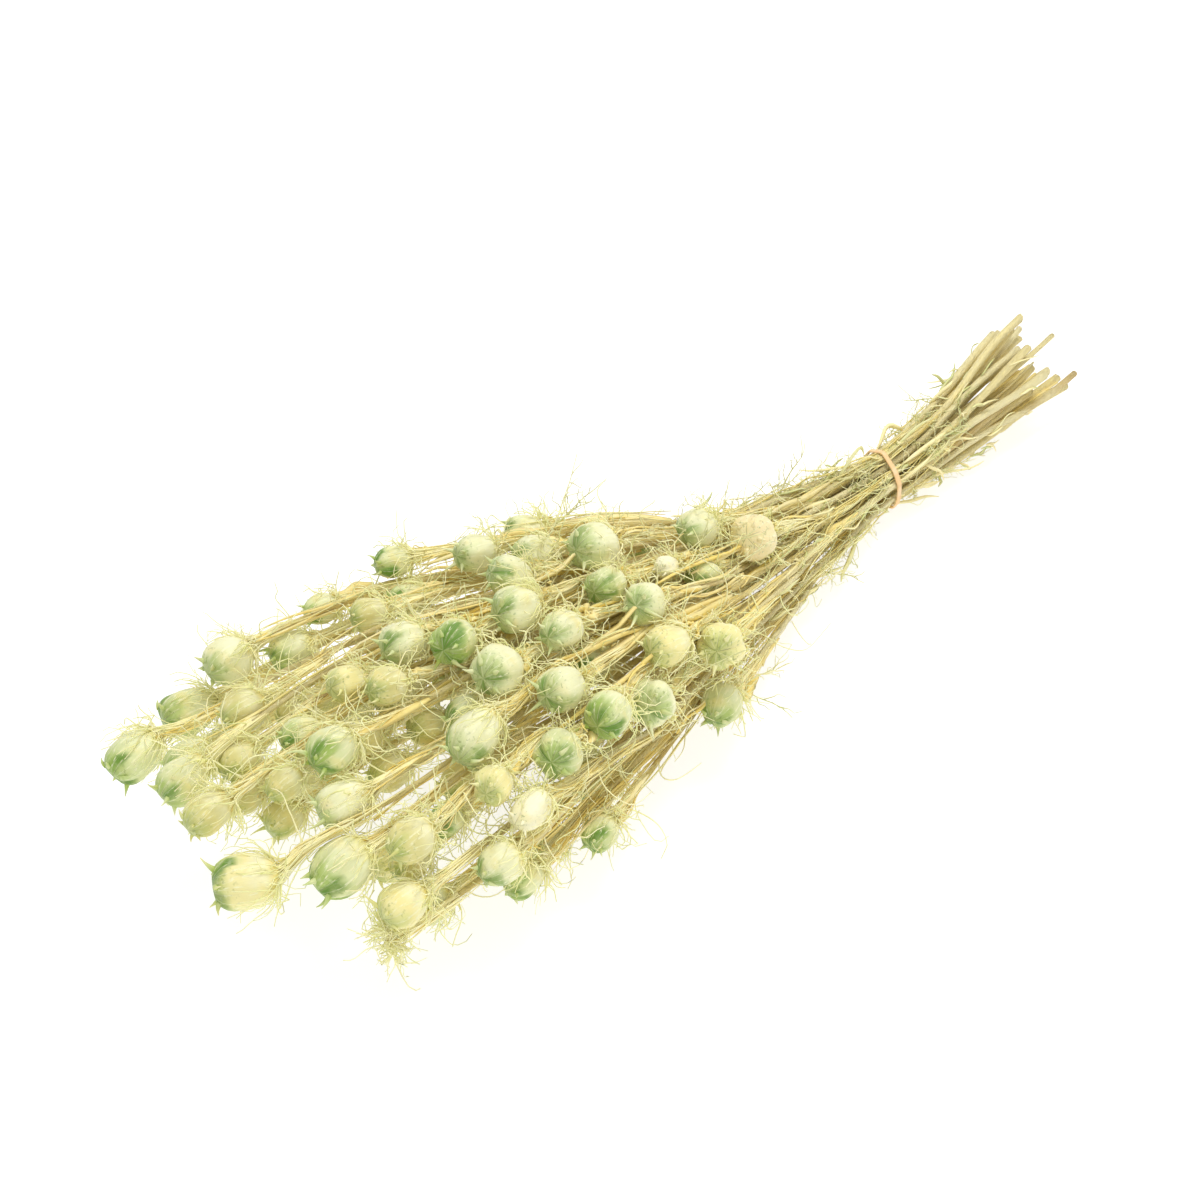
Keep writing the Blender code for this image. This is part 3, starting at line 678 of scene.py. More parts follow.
# The stems and side branches.
def add_stems(bunch, axes, stems):
    """Tubes along every stalk, radius * (1 + 0.06 cos 3a + flat cos 2a), that widen into the pod.
    A cut end turns inwards and runs on inside as a hollow, coloured with painted shade that is darkest
    on the deepest ring."""
    random = np.random.default_rng(31)
    count = len(bunch.pods)
    each = drawer(random, count, 1, 1)
    along, around = 42, 8
    who = np.arange(count)[:, None]
    foot = bunch.centre - axes * bunch.pods[:, 3:4] * 0.46
    run = foot[:, :1] - 6.0 - bunch.start[:, None]
    points = bunch.at(who, bunch.start[:, None] + run * np.linspace(0, 1, along - 3))
    near = foot - axes * 3.5
    points = np.concatenate([points, near[:, None], foot[:, None], (foot + axes)[:, None]], axis=1)
    points = indoors(ease(points, 2), 1.0)
    radii = ease(bunch.width_at(who, points[..., 0])[..., None], 4)[..., 0]
    left = np.linalg.norm(points - foot[:, None], axis=-1)
    knot = 1 + 0.12 * ripple(9, points[..., 0] * 0.06, who * 3.1)
    radii = radii * knot * (1 + 0.9 * np.exp(-((left / 6.0) ** 2)))
    a = circle(around)
    flat = each(0.0, 0.22)
    lay = each(0, TAU)
    flutes = 1 + 0.06 * np.cos(3 * a + lay) + flat * np.cos(2 * a + lay)
    ring = rings(points, radii, around, flutes)
    far = smooth_step((points[..., 0] - 10) / 200)
    tone = each(-0.25, 0.55)[..., 0] + 0.6 * far * each(0.3, 1.0)[..., 0]
    base = mixed(STRAW_PALE * 1.03, STRAW_GOLD, np.clip(tone, 0, 1))
    rust = random.uniform(size=(count, 1)) < 0.16
    stain = np.clip(0.9 * rust * ripple(3, points[..., 0] * 0.05 + who), 0, 0.8)
    base = mixed(base, STRAW_BROWN, stain)
    grain = np.stack(np.broadcast_arrays(
        points[..., 0:1] * 0.02 + np.arange(count)[:, None, None] * 3.7,
        np.cos(a) * 1.2 + 0 * points[..., 0:1], np.sin(a) * 1.2
    ), axis=-1)
    hollow = points[:, :3, None] + 0.6 * (ring[:, :3] - points[:, :3, None])
    deep = hollow[:, 2:1:-1], hollow[:, :1]
    ring = np.concatenate([*deep, ring], axis=1)
    grain = np.concatenate([grain[:, :1], grain[:, :1], grain], axis=1)
    # The inside of each cut end is painted shade: a dark straw brown, darker still on the deepest ring.
    cut_end_shade = np.broadcast_to(HOLLOW_SHADE, (count, 2, 3)) * np.array([0.55, 1.0])[:, None]
    stems.add(ring, np.concatenate([cut_end_shade, base], axis=1)[:, :, None], grain)


# Threads: the net behind each pod, the bracts, and leaves and fibres among the stems.
BLADE_SIDES = 6


def curls(random, points, size, *shape):
    """Smooth random wander of each thread, growing from nothing at its foot."""
    s = np.linspace(0, 1, points)
    each = drawer(random, *shape, 1, 3)
    total = np.zeros((*shape, points, 3))
    for _ in range(3):
        rate, phase = each(3.5, 14.0), each(0, TAU)
        total += (np.sin(rate * s[:, None] + phase) - np.sin(phase)) * (s[:, None] ** 1.2) / rate
    return total * size * 3.8


def round_pod(bunch, axes, which, z, rho, a):
    """Points at height z above the middle of pods, rho from the axis at angle a round it. Below
    the pod they follow the bending stalk."""
    out, up = side_pair(axes, np.zeros(len(axes)))
    who = which[:, None]
    arm = np.cos(a)[..., None] * out[who] + np.sin(a)[..., None] * up[who]
    on_pod = bunch.centre[who] + z[..., None] * axes[who]
    on_stalk = bunch.at(who, bunch.centre[who, 0] + z)
    share = smooth_step((z + bunch.pods[who, 3] / 2 + 7.0) / 7.0)[..., None]
    return on_stalk * (1 - share) + on_pod * share + rho[..., None] * arm


def add_net(bunch, axes, threads, per_pod):
    """Flat straw strands behind each pod: they keep to a funnel that widens from the stalk to the
    capsule and swing round it, so that they cross like a net."""
    random = np.random.default_rng(38)
    which = np.repeat(np.arange(len(bunch.pods)), per_pod)
    each = drawer(random, len(which), 1)
    s = np.linspace(0, 1, 13)
    length, width = bunch.pods[which, 3:4], bunch.pods[which, 4:5]
    tail, over = each(10.0, 48.0), each(0.05, 0.32) * length
    z = -length / 2 - tail + (tail + over) * s
    climb = np.clip((z + length / 2) / over, 0, 1)
    on_capsule = np.sqrt(np.clip(1 - (2 * z / length) ** 2, 0, 1)) * width / 2
    rho = 1.25 + 1.1 * s**2 + each(0, 0.9) * np.sin(math.pi * s)
    rho = np.maximum(rho, (on_capsule + 0.25) * climb**0.5)
    rate = each(4.0, 9.0)
    a = each(0, TAU) + 0.55 * np.sin(rate * s + each(0, 6))
    path = indoors(ease(round_pod(bunch, axes, which, z, rho, a), 1), 0.4)
    thick = each(0.26, 0.5) * (0.55 + 0.45 * np.sin(math.pi * s))
    threads.add(rings(path, thick, 3), mixed(STRAW_GOLD, THREAD_STRAW, each(0, 1))[:, None])


def add_bracts(bunch, axes, threads, which, seed, wrap_range, wild):
    """Threads that run up the stalk, close on the pod's lower half and curl free with a hook:
    their height and distance from the axis go along the stalk, then along the capsule."""
    random = np.random.default_rng(seed)
    count, points = len(which), 11
    each = drawer(random, count, 1)
    s = np.linspace(0, 1, points)
    length, width = bunch.pods[which, 3:4], bunch.pods[which, 4:5]
    split, sheath, wrap = each(0.12, 0.5), each(3.0, 26.0), each(*wrap_range)
    free, hook, spin = each(0.1, 3.2) * wild, each(0.4, 1.5) * wild, each(-6.0, 6.0)
    late = np.clip((s - split) / (1 - split), 0, 1)
    early = np.clip(s / split, 0, 1)
    phi = wrap * late
    z = np.where(s < split, -length / 2 - sheath * (1 - early), -np.cos(phi) * length / 2)
    closing = 1.6 * (1 - late) + np.sin(phi) * width / 2 + 0.35 + free * late**2
    rho = np.where(s < split, 1.1 + 0.7 * early, closing)
    end = smooth_step((late - 0.6) / 0.4)
    z = z + hook * (np.cos(spin * end) - 1)
    rho = rho + hook * np.abs(np.sin(spin * end))
    a = each(0, TAU) + random.normal(0, 0.6, (count, 1)) * s
    path = ease(round_pod(bunch, axes, which, z, rho, a), 1)
    path = indoors(path + curls(random, points, 1.3 * wild, count), 0.35)
    thick = each(0.22, 0.42) * (1 - 0.5 * s)
    tone = each(0, 1) * smooth_step((s - 0.1) / 0.6)
    colour = mixed(THREAD_STRAW, THREAD_GREEN, tone)
    gold = np.clip(0.7 - 2.4 * s, 0, 1)
    threads.add(rings(path, thick, 3), mixed(colour, STRAW_GOLD, 0.4 * gold)[:, :, None])


def behind_pods(bunch, random, count, span):
    """Points on stalks, at the given distances behind their pods."""
    which = random.integers(0, len(bunch.pods), count)
    x = np.maximum(bunch.centre[which, 0] - random.uniform(*span, count), bunch.start[which] + 2)
    return bunch.at(which, x)


def add_tangle(bunch, random, threads, feet, size_range, thickness):
    """Curly threads that fill the room between stalks and pods: each starts at its foot on a
    stalk and bends round in a loose arc."""
    count, points = len(feet), 11
    each = drawer(random, count, 1, 1)
    s = np.linspace(0, 1, points)[:, None]
    size = each(*size_range)
    ahead = unit(random.normal(0, 0.7, (count, 1, 3)) + (0.9, 0.0, 0.1))
    side = unit(np.cross(ahead, random.normal(size=(count, 1, 3))))
    bend = each(1.0, 3.6)
    path = feet[:, None] + size / bend * (ahead * np.sin(bend * s) + side * (1 - np.cos(bend * s)))
    path = indoors(bunch.held(path + curls(random, points, 1.8, count)), 0.4)
    thick = each(*thickness)[..., 0] * (1 - 0.5 * s[:, 0])
    threads.add(rings(path, thick, 3), mixed(THREAD_STRAW, THREAD_GREEN, each(0, 1)))


def outer_places(bunch, random, count, span):
    """Stalks and distances from the tie, the outermost of three times as many draws, with their
    points and the way outwards from the bunch's middle."""
    which = random.integers(0, len(bunch.pods), count * 3)
    x = random.uniform(*span, count * 3)
    which = np.where(x < bunch.start[which] + 2, bunch.parent[which], which)
    x = np.maximum(x, bunch.start[which] + 2)
    x = np.minimum(x, bunch.centre[which, 0] - 14)
    foot = bunch.at(which, x)
    half_width, half_height, middle, shift = np.moveaxis(bunch_at(x), -1, 0)
    away = np.stack([0 * x, (foot[:, 1] - shift) / half_width, (foot[:, 2] - middle) / half_height],
                    axis=-1)
    keep = np.argsort(-np.linalg.norm(away, axis=-1))[:count]
    return which[keep], x[keep], foot[keep], unit(away[keep])


def add_leaves(bunch, threads, count, seed, span, size_range):
    """Dill-like leaves: a wandering rib that leaves a stem and side threads that fork from it."""
    random = np.random.default_rng(seed)
    each = drawer(random, count, 1, 1)
    _, _, foot, outward = outer_places(bunch, random, count, span)
    size = each(*size_range)
    points, twigs = 9, 5
    s = np.linspace(0, 1, points)[:, None]
    ahead = np.where(random.uniform(size=(count, 1)) < 0.7, 1.0, -0.8) * (1.0, 0.0, 0.0)
    way = ahead + outward * each(-0.35, 0.85)[..., 0] ** 3
    way = unit(way + random.normal(0, 0.26, (count, 3)))[:, None]
    rib = foot[:, None] + outward[:, None] * 1.0 + way * size * s
    rib = indoors(ease(bunch.held(rib + curls(random, points, 2.4, count)), 1), 0.4)
    colour = mixed(THREAD_STRAW, LEAF_GREY, each(0, 1))
    threads.add(rings(rib, 0.36 * (1 - 0.55 * s[None, :, 0]), 3), colour)
    leave = (np.arange(twigs) + 2) * (points - 2) // (twigs + 2)
    along = unit(rib[:, leave + 1] - rib[:, leave])
    course = unit(along * 0.9 + unit(random.normal(size=(count, twigs, 3))) * 0.8)[:, :, None]
    q = np.linspace(0, 1, 5)[:, None]
    reach = size[:, None] * random.uniform(0.16, 0.42, (count, twigs, 1, 1))
    twig = rib[:, leave][:, :, None] + course * reach * q + curls(random, 5, 1.4, count, twigs)
    twig = indoors(bunch.held(twig.reshape(-1, 5, 3)), 0.35)
    threads.add(rings(twig, 0.26 * (1 - 0.55 * q[None, :, 0]), 3), np.repeat(colour, twigs, axis=0))


def add_fibres(bunch, threads, count, seed, span, lengths, spread):
    """Long strands that lie along the outer stems and fray away from them at one end."""
    random = np.random.default_rng(seed)
    each = drawer(random, count, 1, 1)
    which, x0, _, outward = outer_places(bunch, random, count, span)
    x1 = np.minimum(x0 + random.uniform(*lengths, count), bunch.centre[which, 0] - 10)
    points = 14
    s = np.linspace(0, 1, points)
    base = bunch.at(which[:, None], x0[:, None] + (x1 - x0)[:, None] * s)
    aside = outward[:, None] * each(0.8, 2.6)
    aside = aside + random.normal(0, spread, (count, 1, 3))
    drift = random.normal(0, 1.2 * spread, (count, 1, 3)) * s[:, None]
    path = bunch.held(base + aside + drift + curls(random, points, 1.5, count))
    path = indoors(ease(path, 1), 0.5)
    thick = each(0.2, 0.55)[..., 0] * (1 - 0.5 * np.abs(2 * s - 1))
    colour = mixed(THREAD_STRAW, THREAD_GREEN, each(0, 1) * 0.6)
    colour = mixed(colour, STRAW_GOLD, each(0, 0.8))
    threads.add(rings(path, thick, 3), colour)


def add_thin_stems(bunch, threads, count):
    """Thin stems without pods between the stalks: each keeps its share of the way from one stalk
    to a near one, and breaks off before their pods."""
    random = np.random.default_rng(66)
    each = drawer(random, count, 1, 1)
    one = random.integers(0, len(bunch.pods), count)
    spots = bunch.at(np.arange(len(bunch.pods)), 190.0)
    far = np.linalg.norm(spots[one][:, None] - spots[None], axis=-1)
    two = np.argsort(far, axis=1)[np.arange(count), random.integers(1, 6, count)]
    share = each(0.3, 0.7)
    points = 20
    s = np.linspace(0, 1, points)
    first = np.maximum(bunch.start[one], bunch.start[two])
    last = np.minimum(bunch.centre[one, 0], bunch.centre[two, 0]) - random.uniform(4, 50, count)
    last = np.maximum(last, first + 20.0)
    x = first[:, None] + (last - first)[:, None] * s
    path = bunch.at(one[:, None], x) * (1 - share) + bunch.at(two[:, None], x) * share
    path = indoors(path + curls(random, points, 0.9, count), 0.8)
    thick = each(0.5, 0.95)[..., 0] * (1 - 0.35 * s)
    colour = mixed(STRAW_PALE, STRAW_GOLD, each(0, 1))
    threads.add(rings(path, thick, 4), colour)


def blade(flatness, lay=0.0):
    """The distance of a flattened tube's corners from its path, as shares of its width."""
    a = circle(BLADE_SIDES)
    return 1 / np.sqrt(np.cos(a + lay) ** 2 + (np.sin(a + lay) / flatness) ** 2)


def add_ribbons(bunch, random, threads, which, x0, outward):
    """Flat fibrous strips, the bases of old leaves, that lie along the stalks."""
    count = len(which)
    each = drawer(random, count, 1, 1)
    x1 = np.minimum(x0 + random.uniform(30.0, 80.0, count), bunch.centre[which, 0] - 8)
    points = 12
    s = np.linspace(0, 1, points)
    base = bunch.at(which[:, None], x0[:, None] + (x1 - x0)[:, None] * s)
    aside = outward[:, None] * each(0.4, 1.8)
    path = base + aside + random.normal(0, 1.3, (count, 1, 3))
    path = indoors(path + curls(random, points, 1.3, count), 0.9)
    strip = blade(0.2, each(0, TAU))
    wide = each(0.9, 2.7)[..., 0] * np.sin(math.pi * (0.1 + 0.85 * s)) ** 0.8
    colour = mixed(STRAW_PALE, STRAW_GOLD, each(0.2, 1))
    threads.add(indoors(rings(path, wide, BLADE_SIDES, strip), 0.1), colour)


def add_scraps(bunch, threads, count, seed, span, sizes, widths, flatness, leafy):
    """Dried leaf blades or broken straws round the tie and the cut ends: flattened, pointed tubes
    that lie across the stems; leafy is the share of grey-green in their colour."""
    random = np.random.default_rng(seed)
    each = drawer(random, count, 1, 1)
    _, _, foot, outward = outer_places(bunch, random, count, span)
    points = 9
    s = np.linspace(0, 1, points)[:, None]
    ahead = np.where(random.uniform(size=(count, 1)) < 0.5, 1.0, -1.0) * (1.0, 0.0, 0.0)
    lift = each(-0.2, 0.65)[..., 0] ** 3 + 0.05
    way = unit(ahead + outward * lift + random.normal(0, 0.24, (count, 3)))[:, None]
    size = each(*sizes)
    path = foot[:, None] + outward[:, None] * 2.2 + way * size * s
    path = indoors(ease(bunch.held(path + curls(random, points, 1.8, count)), 3), 0.8)
    wide = each(*widths)[..., 0] * np.sin(math.pi * (0.12 + 0.84 * s[:, 0])) ** 0.7
    tone = smooth_step(each(leafy - 1, leafy + 0.6))
    corners = indoors(rings(path, wide, BLADE_SIDES, blade(flatness)), 0.1)
    threads.add(corners, mixed(STRAW_PALE * 1.04, LEAF_GREY, tone))


def band_corners(bunch):
    """The tight loop round the stems at the tie, as the frame's band has it: where the lines
    that just touch the stems from outside, one for each direction, cross."""
    middle, normals, reach, slant = bunch.tie
    ahead = np.roll(normals, -1, axis=0)
    pairs = np.stack([normals, ahead], axis=1)
    both = np.stack([reach, np.roll(reach, -1)], axis=1)[..., None]
    corner = np.linalg.solve(pairs, both)[..., 0]
    return middle, corner, corner @ slant


def band_loop(bunch):
    """A flat strip with rounded edges along the loop: a rounded rectangle carried round it, with
    a slight waver in its width."""
    middle, corner, x = band_corners(bunch)
    loop = np.column_stack([x, corner])
    fine = 192
    u = np.arange(fine) * BAND_SIDES / fine
    low = u.astype(int)
    share = (u - low)[:, None]
    loop = loop[low] * (1 - share) + np.roll(loop, -1, axis=0)[low] * share
    for _ in range(6):
        loop = (np.roll(loop, 1, axis=0) + 2 * loop + np.roll(loop, -1, axis=0)) / 4
    out = unit(loop * (0, 1, 1))
    place = loop + np.array([0.0, *middle]) + out * BAND_THICKNESS * 0.5
    a = circle(12)
    half_wide = BAND_WIDTH * 0.42 * (1 + 0.10 * np.sin(u * 0.9))[:, None]
    profile_x = np.sign(np.cos(a)) * np.abs(np.cos(a)) ** 0.5 * half_wide
    profile_r = np.sign(np.sin(a)) * np.abs(np.sin(a)) ** 0.7 * BAND_THICKNESS * 0.42
    corners = place[:, None] + profile_r[None, :, None] * out[:, None]
    corners[..., 0] += profile_x
    return corners


def tie_shift(bunch):
    """How far the part's frame is from the bunch's own: the frame's band against this one."""
    middle, corner, x = band_corners(bunch)
    outer = middle + corner + unit(corner) * BAND_THICKNESS
    low = np.array([x.min() - BAND_WIDTH / 2, *outer.min(axis=0)])
    return np.array(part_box("elastic_band")[0]) / MM - low


# Materials.
class Sock:
    """A node's output that is worked with as a number: each operator adds one Math node."""

    def __init__(self, graph, socket):
        self.graph, self.socket = graph, socket

    def apply(self, operation, *others, first=None):
        """The number put through a Math node, alone, before others or after a first one."""
        values = dict(enumerate((self, *others) if first is None else (first, self)))
        return self.graph.node("ShaderNodeMath", {"operation": operation}, values)

    def __add__(self, other):
        return self.apply("ADD", other)

    def __mul__(self, other):
        return self.apply("MULTIPLY", other)

    def __sub__(self, other):
        return self.apply("SUBTRACT", other)

    def __rsub__(self, other):
        return self.apply("SUBTRACT", first=other)

    __radd__ = __add__
    __rmul__ = __mul__

    def clamped(self, low, high):
        """0 at low, 1 at high, smooth between."""
        return self.graph.node(
            "ShaderNodeMapRange",
            {"interpolation_type": "SMOOTHSTEP"},
            {"Value": self, "From Min": low, "From Max": high},
        )


class Graph:
    """A material's nodes: one method adds any node and links or sets its inputs."""

    def __init__(self, name):
        self.material = bpy.data.materials.new(name)
        self.material.use_nodes = True
        self.nodes = self.material.node_tree.nodes
        self.links = self.material.node_tree.links
        self.shader = self.nodes["Principled BSDF"]

    def node(self, kind, settings=None, values=None, output=0):
        made = self.nodes.new(kind)
        for key, value in (settings or {}).items():
            setattr(made, key, value)
        for key, value in (values or {}).items():
            self.plug(made.inputs[key], value)
        return Sock(self, made.outputs[output])

    def plug(self, socket, value):
        if isinstance(value, Sock):
            self.links.new(value.socket, socket)
        elif hasattr(value, "__len__") and len(value) == 3 and socket.type == "RGBA":
            socket.default_value = (*value, 1.0)
        else:
            socket.default_value = value

    def attribute(self, name, output):
        return self.node("ShaderNodeAttribute", {"attribute_name": name}, output=output)

    def layered(self, colour, *layers):
        """A colour under layers of others, each with the share that it covers."""
        for tone, share in layers:
            values = {"Factor": share, 6: colour, 7: tuple(tone)}
            colour = self.node("ShaderNodeMix", {"data_type": "RGBA"}, values, output=2)
        return colour

    def noise(self, scale, detail=3.0, vector=None):
        where = vector or self.node("ShaderNodeTexCoord", output=3)
        return self.node(
            "ShaderNodeTexNoise", {}, {"Vector": where, "Scale": scale, "Detail": detail}
        )

    def bump(self, height, strength, distance):
        return self.node(
            "ShaderNodeBump", {}, {"Height": height, "Strength": strength, "Distance": distance}
        )

    def finish(self, colour, roughness, normal, **fixed):
        self.plug(self.shader.inputs["Base Color"], colour)
        self.plug(self.shader.inputs["Roughness"], roughness)
        self.plug(self.shader.inputs["Normal"], normal)
        for name, value in fixed.items():
            self.plug(self.shader.inputs[name.replace("_", " ")], value)
        return self.material


def husk_material():
    """Papery capsule wall: the worked-out tint, fine lengthwise veins, a pale line up each lobe
    that is partly the lobe's own rib and partly painted highlight, thin dark seams that meet in a
    star at the tip, and soft mottling."""
    g = Graph("capsule_husk")
    grain = g.attribute("grain", 1)
    cosine = g.node("ShaderNodeSeparateXYZ", {}, {0: grain})
    sine, height = (Sock(g, cosine.socket.node.outputs[i]) for i in (1, 2))
    phase = sine.apply("ARCTAN2", cosine).apply("ABSOLUTE")
    girth = (1.02 - height * height).apply("SQRT")
    ridge = (phase * girth).clamped(0.24, 0.02)
    seam = ((math.pi - phase) * girth).clamped(0.13, 0.02)
    tip, fresh = height.clamped(0.62, 0.96), height.clamped(-0.1, 0.8)
    long = g.node("ShaderNodeVectorMath", {"operation": "MULTIPLY"}, {0: grain, 1: (1.0, 1.0, 0.22)})
    veins, wander = g.noise(4.5, 4.0, long), g.noise(1.6, 2.0, grain)
    net = (phase * 4.6 + wander * 12.0 - 6.0).apply("SINE")
    net = net.clamped(0.80, 0.99) * girth.clamped(0.1, 0.45) * wander.clamped(0.40, 0.60)
    mottle, blotch, freckle = g.noise(420.0, 4.0), g.noise(150.0, 2.0), g.noise(760.0, 3.0)
    colour = g.layered(
        g.attribute("tint", 0),
        # The ridge line: partly the lobe's pale rib, partly painted highlight, stronger towards the tip.
        (srgb(250, 246, 208), ridge * (0.06 + 0.22 * tip)),
        (srgb(252, 250, 214), net * 0.6),
        (srgb(116, 124, 60), seam * tip * 0.7),
        (srgb(214, 210, 140), veins.clamped(0.52, 0.75) * 0.30),
        (srgb(232, 224, 160), blotch.clamped(0.5, 0.78) * 0.25),
        (srgb(255, 253, 226), mottle.clamped(0.55, 0.75) * 0.22),
        (srgb(122, 142, 70), freckle.clamped(0.56, 0.70) * fresh * 0.55),
    )
    relief = veins * 0.9 + mottle * 0.5 + net * 0.35 + ridge * 0.2 * tip - seam * 0.7 * tip
    return g.finish(
        colour, 0.42 + mottle * 0.2, g.bump(relief, 0.35, 0.0004),
        Subsurface_Weight=0.15, Subsurface_Scale=0.003, Subsurface_Radius=(1.0, 0.95, 0.6),
        Sheen_Weight=0.1, IOR=1.4,
    )


def stalk_material():
    """Dried stem: straw with long pale and brown streaks between fine ridges."""
    g = Graph("dried_stem")
    grain = g.attribute("grain", 1)
    streak, thin, line = g.noise(3.2, 5.0, grain), g.noise(11.0, 3.0, grain), g.noise(24.0, 2.0, grain)
    speck = g.noise(300.0, 3.0)
    colour = g.layered(
        g.attribute("tint", 0),
        (STRAW_BROWN, streak.clamped(0.55, 0.85) * 0.22),
        (srgb(254, 246, 212), thin.clamped(0.50, 0.68) * 0.6),
        (srgb(182, 148, 84), speck.clamped(0.66, 0.76) * 0.3),
        (srgb(190, 160, 88), line.clamped(0.54, 0.68) * 0.28),
    )
    relief = streak * 0.5 + thin * 0.6 + line * 0.4 + speck * 0.2
    return g.finish(colour, 0.58 + thin * 0.2, g.bump(relief, 0.9, 0.0008), IOR=1.4)


def thread_material(name, lift, glow):
    """Hair-thin dried bracts and leaves: the worked-out tint, varied along its length, with a
    little glow for the light that passes through them."""
    g = Graph(name)
    drift, fine = g.noise(160.0, 2.0), g.noise(1200.0, 2.0)
    colour = g.layered(
        g.attribute("tint", 0),
        (srgb(255, 248, 208), drift.clamped(0.45, 0.7) * lift),
        (STRAW_BROWN, drift.clamped(0.50, 0.3) * 0.16),
    )
    g.plug(g.shader.inputs["Emission Color"], colour)
    return g.finish(
        colour, 0.6 + fine * 0.15, g.bump(fine, 0.3, 0.0002), IOR=1.4, Emission_Strength=glow
    )


def band_material():
    """Salmon rubber, a little chalky, with fine lines along the strip."""
    g = Graph("salmon_rubber")
    chalk, line = g.noise(260.0, 4.0), g.noise(1500.0, 2.0)
    colour = g.layered(
        g.attribute("tint", 0), (srgb(252, 228, 190), chalk.clamped(0.45, 0.7) * 0.5)
    )
    relief = g.bump(chalk * 0.6 + line * 0.4, 0.4, 0.0003)
    return g.finish(colour, 0.5 + chalk * 0.2, relief, IOR=1.5)


def stage():
    """A white floor that glows a little and soft light from all round, brightest from above."""
    bpy.ops.mesh.primitive_plane_add(size=12.0, location=(0, 0, 0))
    floor = bpy.context.object
    floor.name = "floor"
    g = Graph("floor_white")
    values = {
        "Base Color": (FLOOR_SHADE,) * 3, "Roughness": 0.9,
        "Emission Color": (1.0, 1.0, 1.0), "Emission Strength": FLOOR_GLOW,
    }
    for socket, value in values.items():
        g.plug(g.shader.inputs[socket], value)
    floor.data.materials.append(g.material)
    world = bpy.data.worlds.new("soft_white")
    world.use_nodes = True
    background = world.node_tree.nodes["Background"]
    background.inputs["Color"].default_value = (1.0, 0.995, 0.985, 1.0)
    background.inputs["Strength"].default_value = WORLD_STRENGTH
    bpy.context.scene.world = world
    centre = Vector((0.05, 0.0, 0.03))
    for name, place, size, power, colour in LIGHTS:
        light = bpy.data.lights.new(name, "AREA")
        light.shape = "DISK"
        light.size = size
        light.energy = power
        light.color = colour
        lamp = bpy.data.objects.new(name, light)
        lamp.location = place
        lamp.rotation_euler = (centre - Vector(place)).to_track_quat("-Z", "Y").to_euler()
        bpy.context.scene.collection.objects.link(lamp)


def camera():
    """The photograph's view: from above, over the pods' right."""
    data = bpy.data.cameras.new("camera")
    data.sensor_fit = "VERTICAL"
    data.sensor_height = SENSOR
    data.sensor_width = SENSOR
    data.lens = LENS
    data.clip_start = 0.01
    obj = bpy.data.objects.new("camera", data)
    place = Vector((np.array(CAMERA) + SHIFT) * MM)
    target = Vector((np.array(AIM) + SHIFT) * MM)
    obj.location = place
    obj.rotation_euler = (target - place).to_track_quat("-Z", "Y").to_euler()
    bpy.context.scene.collection.objects.link(obj)
    bpy.context.scene.camera = obj


# Bracts by piece: threads per pod, seed, how far they wrap round it in radians, how wild they are.
# The empty tuft has the same values, with all its threads as the count.
BRACTS = {
    "bracts": [(26, 41, (0.7, 2.3), 0.75)],
    "loose_bracts": [(19, 42, (0.9, 2.4), 1.5), (15, 43, (0.2, 1.1), 2.4)],
    "fine_bracts": [(11, 45, (0.6, 2.1), 2.1)],
}
NET_STRANDS = 8
TUFT = (80, 44, (0.3, 1.6), 2.8)

# Tangled threads: count, where they start (behind the pods, or from the tie), size, thickness.
TANGLE = (980, (5.0, 60.0), (14.0, 32.0), (0.22, 0.38))
OUTER_TANGLE = (240, (-45.0, 110.0), (7.0, 20.0), (0.16, 0.28))

# Loose pieces: count, seed, span along the bunch and sizes. Then scraps have widths, flatness and
# leafiness, and fibres how far they stray.
LEAVES = [(300, 51, (-60.0, 250.0), (14.0, 30.0)), (120, 52, (-50.0, 60.0), (7.0, 17.0))]
SCRAPS = [
    (150, 71, (-95.0, 130.0), (5.0, 17.0), (0.45, 1.2), 0.25, 0.9),
    (44, 72, (-55.0, 60.0), (12.0, 34.0), (0.7, 1.5), 0.6, 0.1),
]
FIBRES = [
    (440, 61, (-60.0, 290.0), (30.0, 90.0), 1.4),
    (130, 62, (-60.0, 70.0), (18.0, 60.0), 1.0),
]
THIN_STEMS = 190
OUTER_RIBBONS, OUTER_RIBBON_SPAN = 330, (40.0, 280.0)
INNER_RIBBONS, INNER_RIBBON_SPAN = 100, (110.0, 250.0)


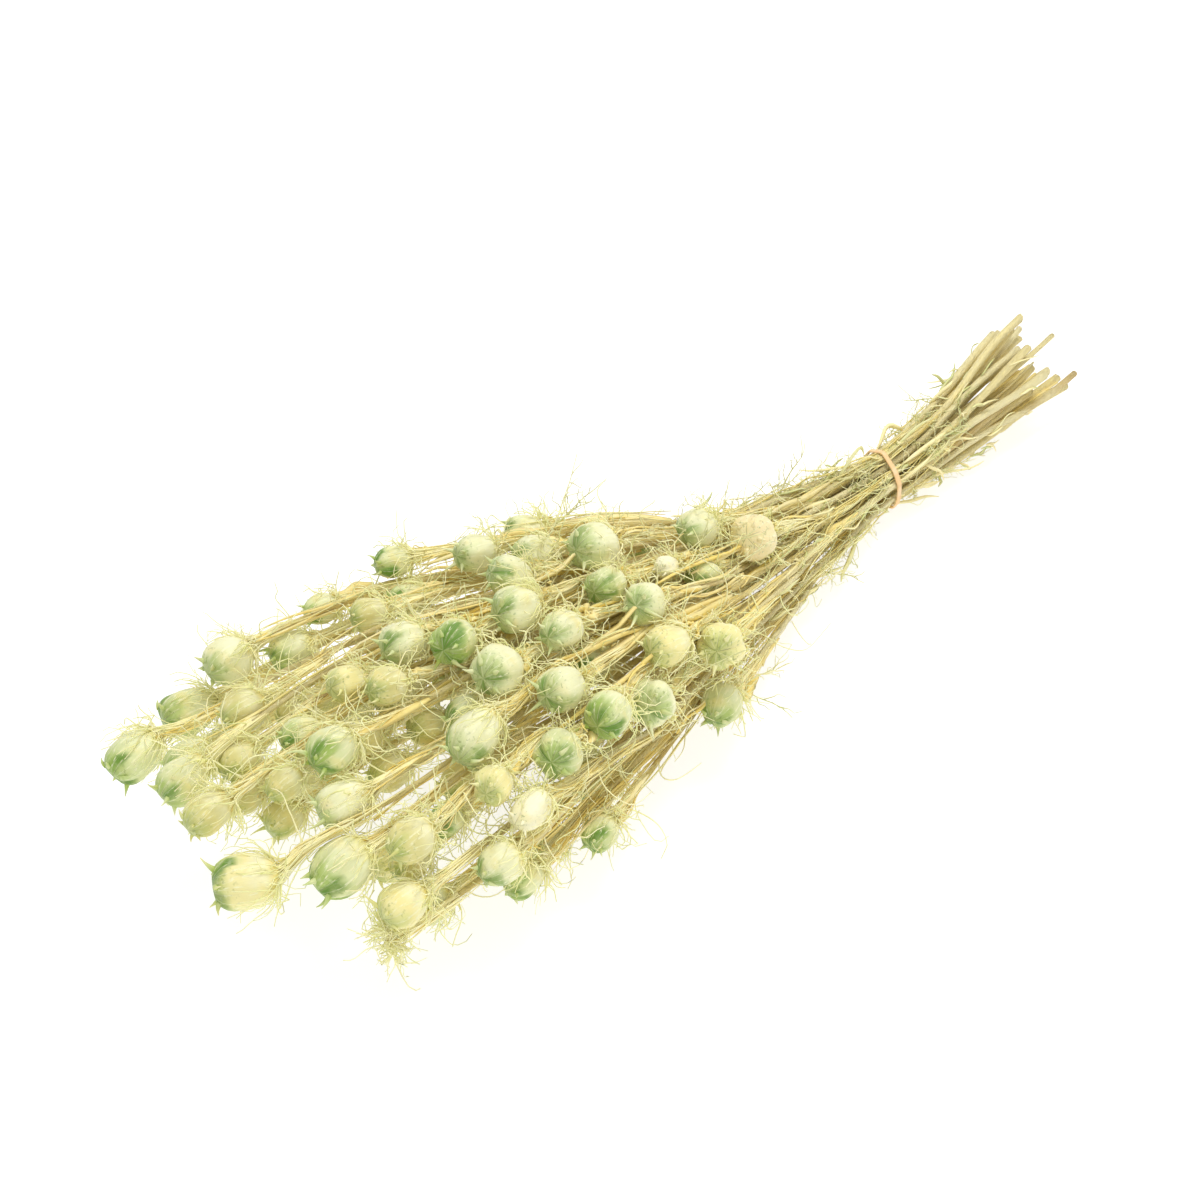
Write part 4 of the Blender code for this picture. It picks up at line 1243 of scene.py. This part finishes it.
def dress_pods(bunch, bract):
    """The capsules with their horns, the stalks, the nets and bracts, and the empty tuft."""
    axes = pod_axes(bunch)
    every = np.arange(len(bunch.pods))
    capsules, husks, horns = Capsules(bunch, axes), Surface(), Surface()
    capsules.add_walls(husks)
    husks.make("seed_capsules", husk_material(), "dried_cream")
    capsules.add_horns(bunch, horns)
    horns.make("capsule_horns", bract, "dried_green")

    stems = Surface()
    add_stems(bunch, axes, stems)
    stalks = stems.make("stalks", stalk_material(), "dried_straw")
    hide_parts(*(f"stem_{s + 1:02d}" for s in range(STEMS)))

    net = Surface()
    add_net(bunch, axes, net, NET_STRANDS)
    add_bracts(bunch, axes, net, np.full(TUFT[0], EMPTY), *TUFT[1:])
    net.make("sheath_net", bract, "dried_straw")
    for name, layers in BRACTS.items():
        threads = Surface()
        for per_pod, *habit in layers:
            add_bracts(bunch, axes, threads, np.repeat(every, per_pod), *habit)
        threads.make(name, bract, "dried_straw")


def dress_stems(bunch, bract, leaf):
    """The loose threads, leaves and fibres among the stems, and the band."""
    tangle = Surface()
    random = np.random.default_rng(46)
    count, span, *habit = TANGLE
    add_tangle(bunch, random, tangle, behind_pods(bunch, random, count, span), *habit)
    count, span, *habit = OUTER_TANGLE
    _, _, feet, outward = outer_places(bunch, random, count, span)
    add_tangle(bunch, random, tangle, feet + 1.6 * outward, *habit)
    tangle.make("tangled_threads", bract, "dried_straw")

    dill = Surface()
    for habit in LEAVES:
        add_leaves(bunch, dill, *habit)
    for habit in SCRAPS:
        add_scraps(bunch, dill, *habit)
    dill.make("thread_leaves", leaf, "dried_green")

    fibres = Surface()
    for habit in FIBRES:
        add_fibres(bunch, fibres, *habit)
    add_thin_stems(bunch, fibres, THIN_STEMS)
    random = np.random.default_rng(68)
    which, x0, _, outward = outer_places(bunch, random, OUTER_RIBBONS, OUTER_RIBBON_SPAN)
    add_ribbons(bunch, random, fibres, which, x0, outward)
    which = random.integers(0, len(bunch.pods), INNER_RIBBONS)
    x0 = np.maximum(random.uniform(*INNER_RIBBON_SPAN, INNER_RIBBONS), bunch.start[which] + 2)
    add_ribbons(bunch, random, fibres, which, x0, unit(random.normal(size=(INNER_RIBBONS, 3))))
    fibres.make("fibres", leaf, "dried_straw")

    band = Surface()
    band.add(band_loop(bunch)[None], BAND_SALMON, closed=True)
    elastic = band.make("elastic_loop", band_material(), "rubber_band")
    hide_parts("elastic_band")


bunch = Bunch()
SHIFT = tie_shift(bunch)
bract_threads = thread_material("bract_threads", 0.5, 0.06)
dress_pods(bunch, bract_threads)
dress_stems(bunch, bract_threads, thread_material("leaf_threads", 0.3, 0.0))
stage()
camera()
bpy.context.scene.view_settings.view_transform = "Standard"
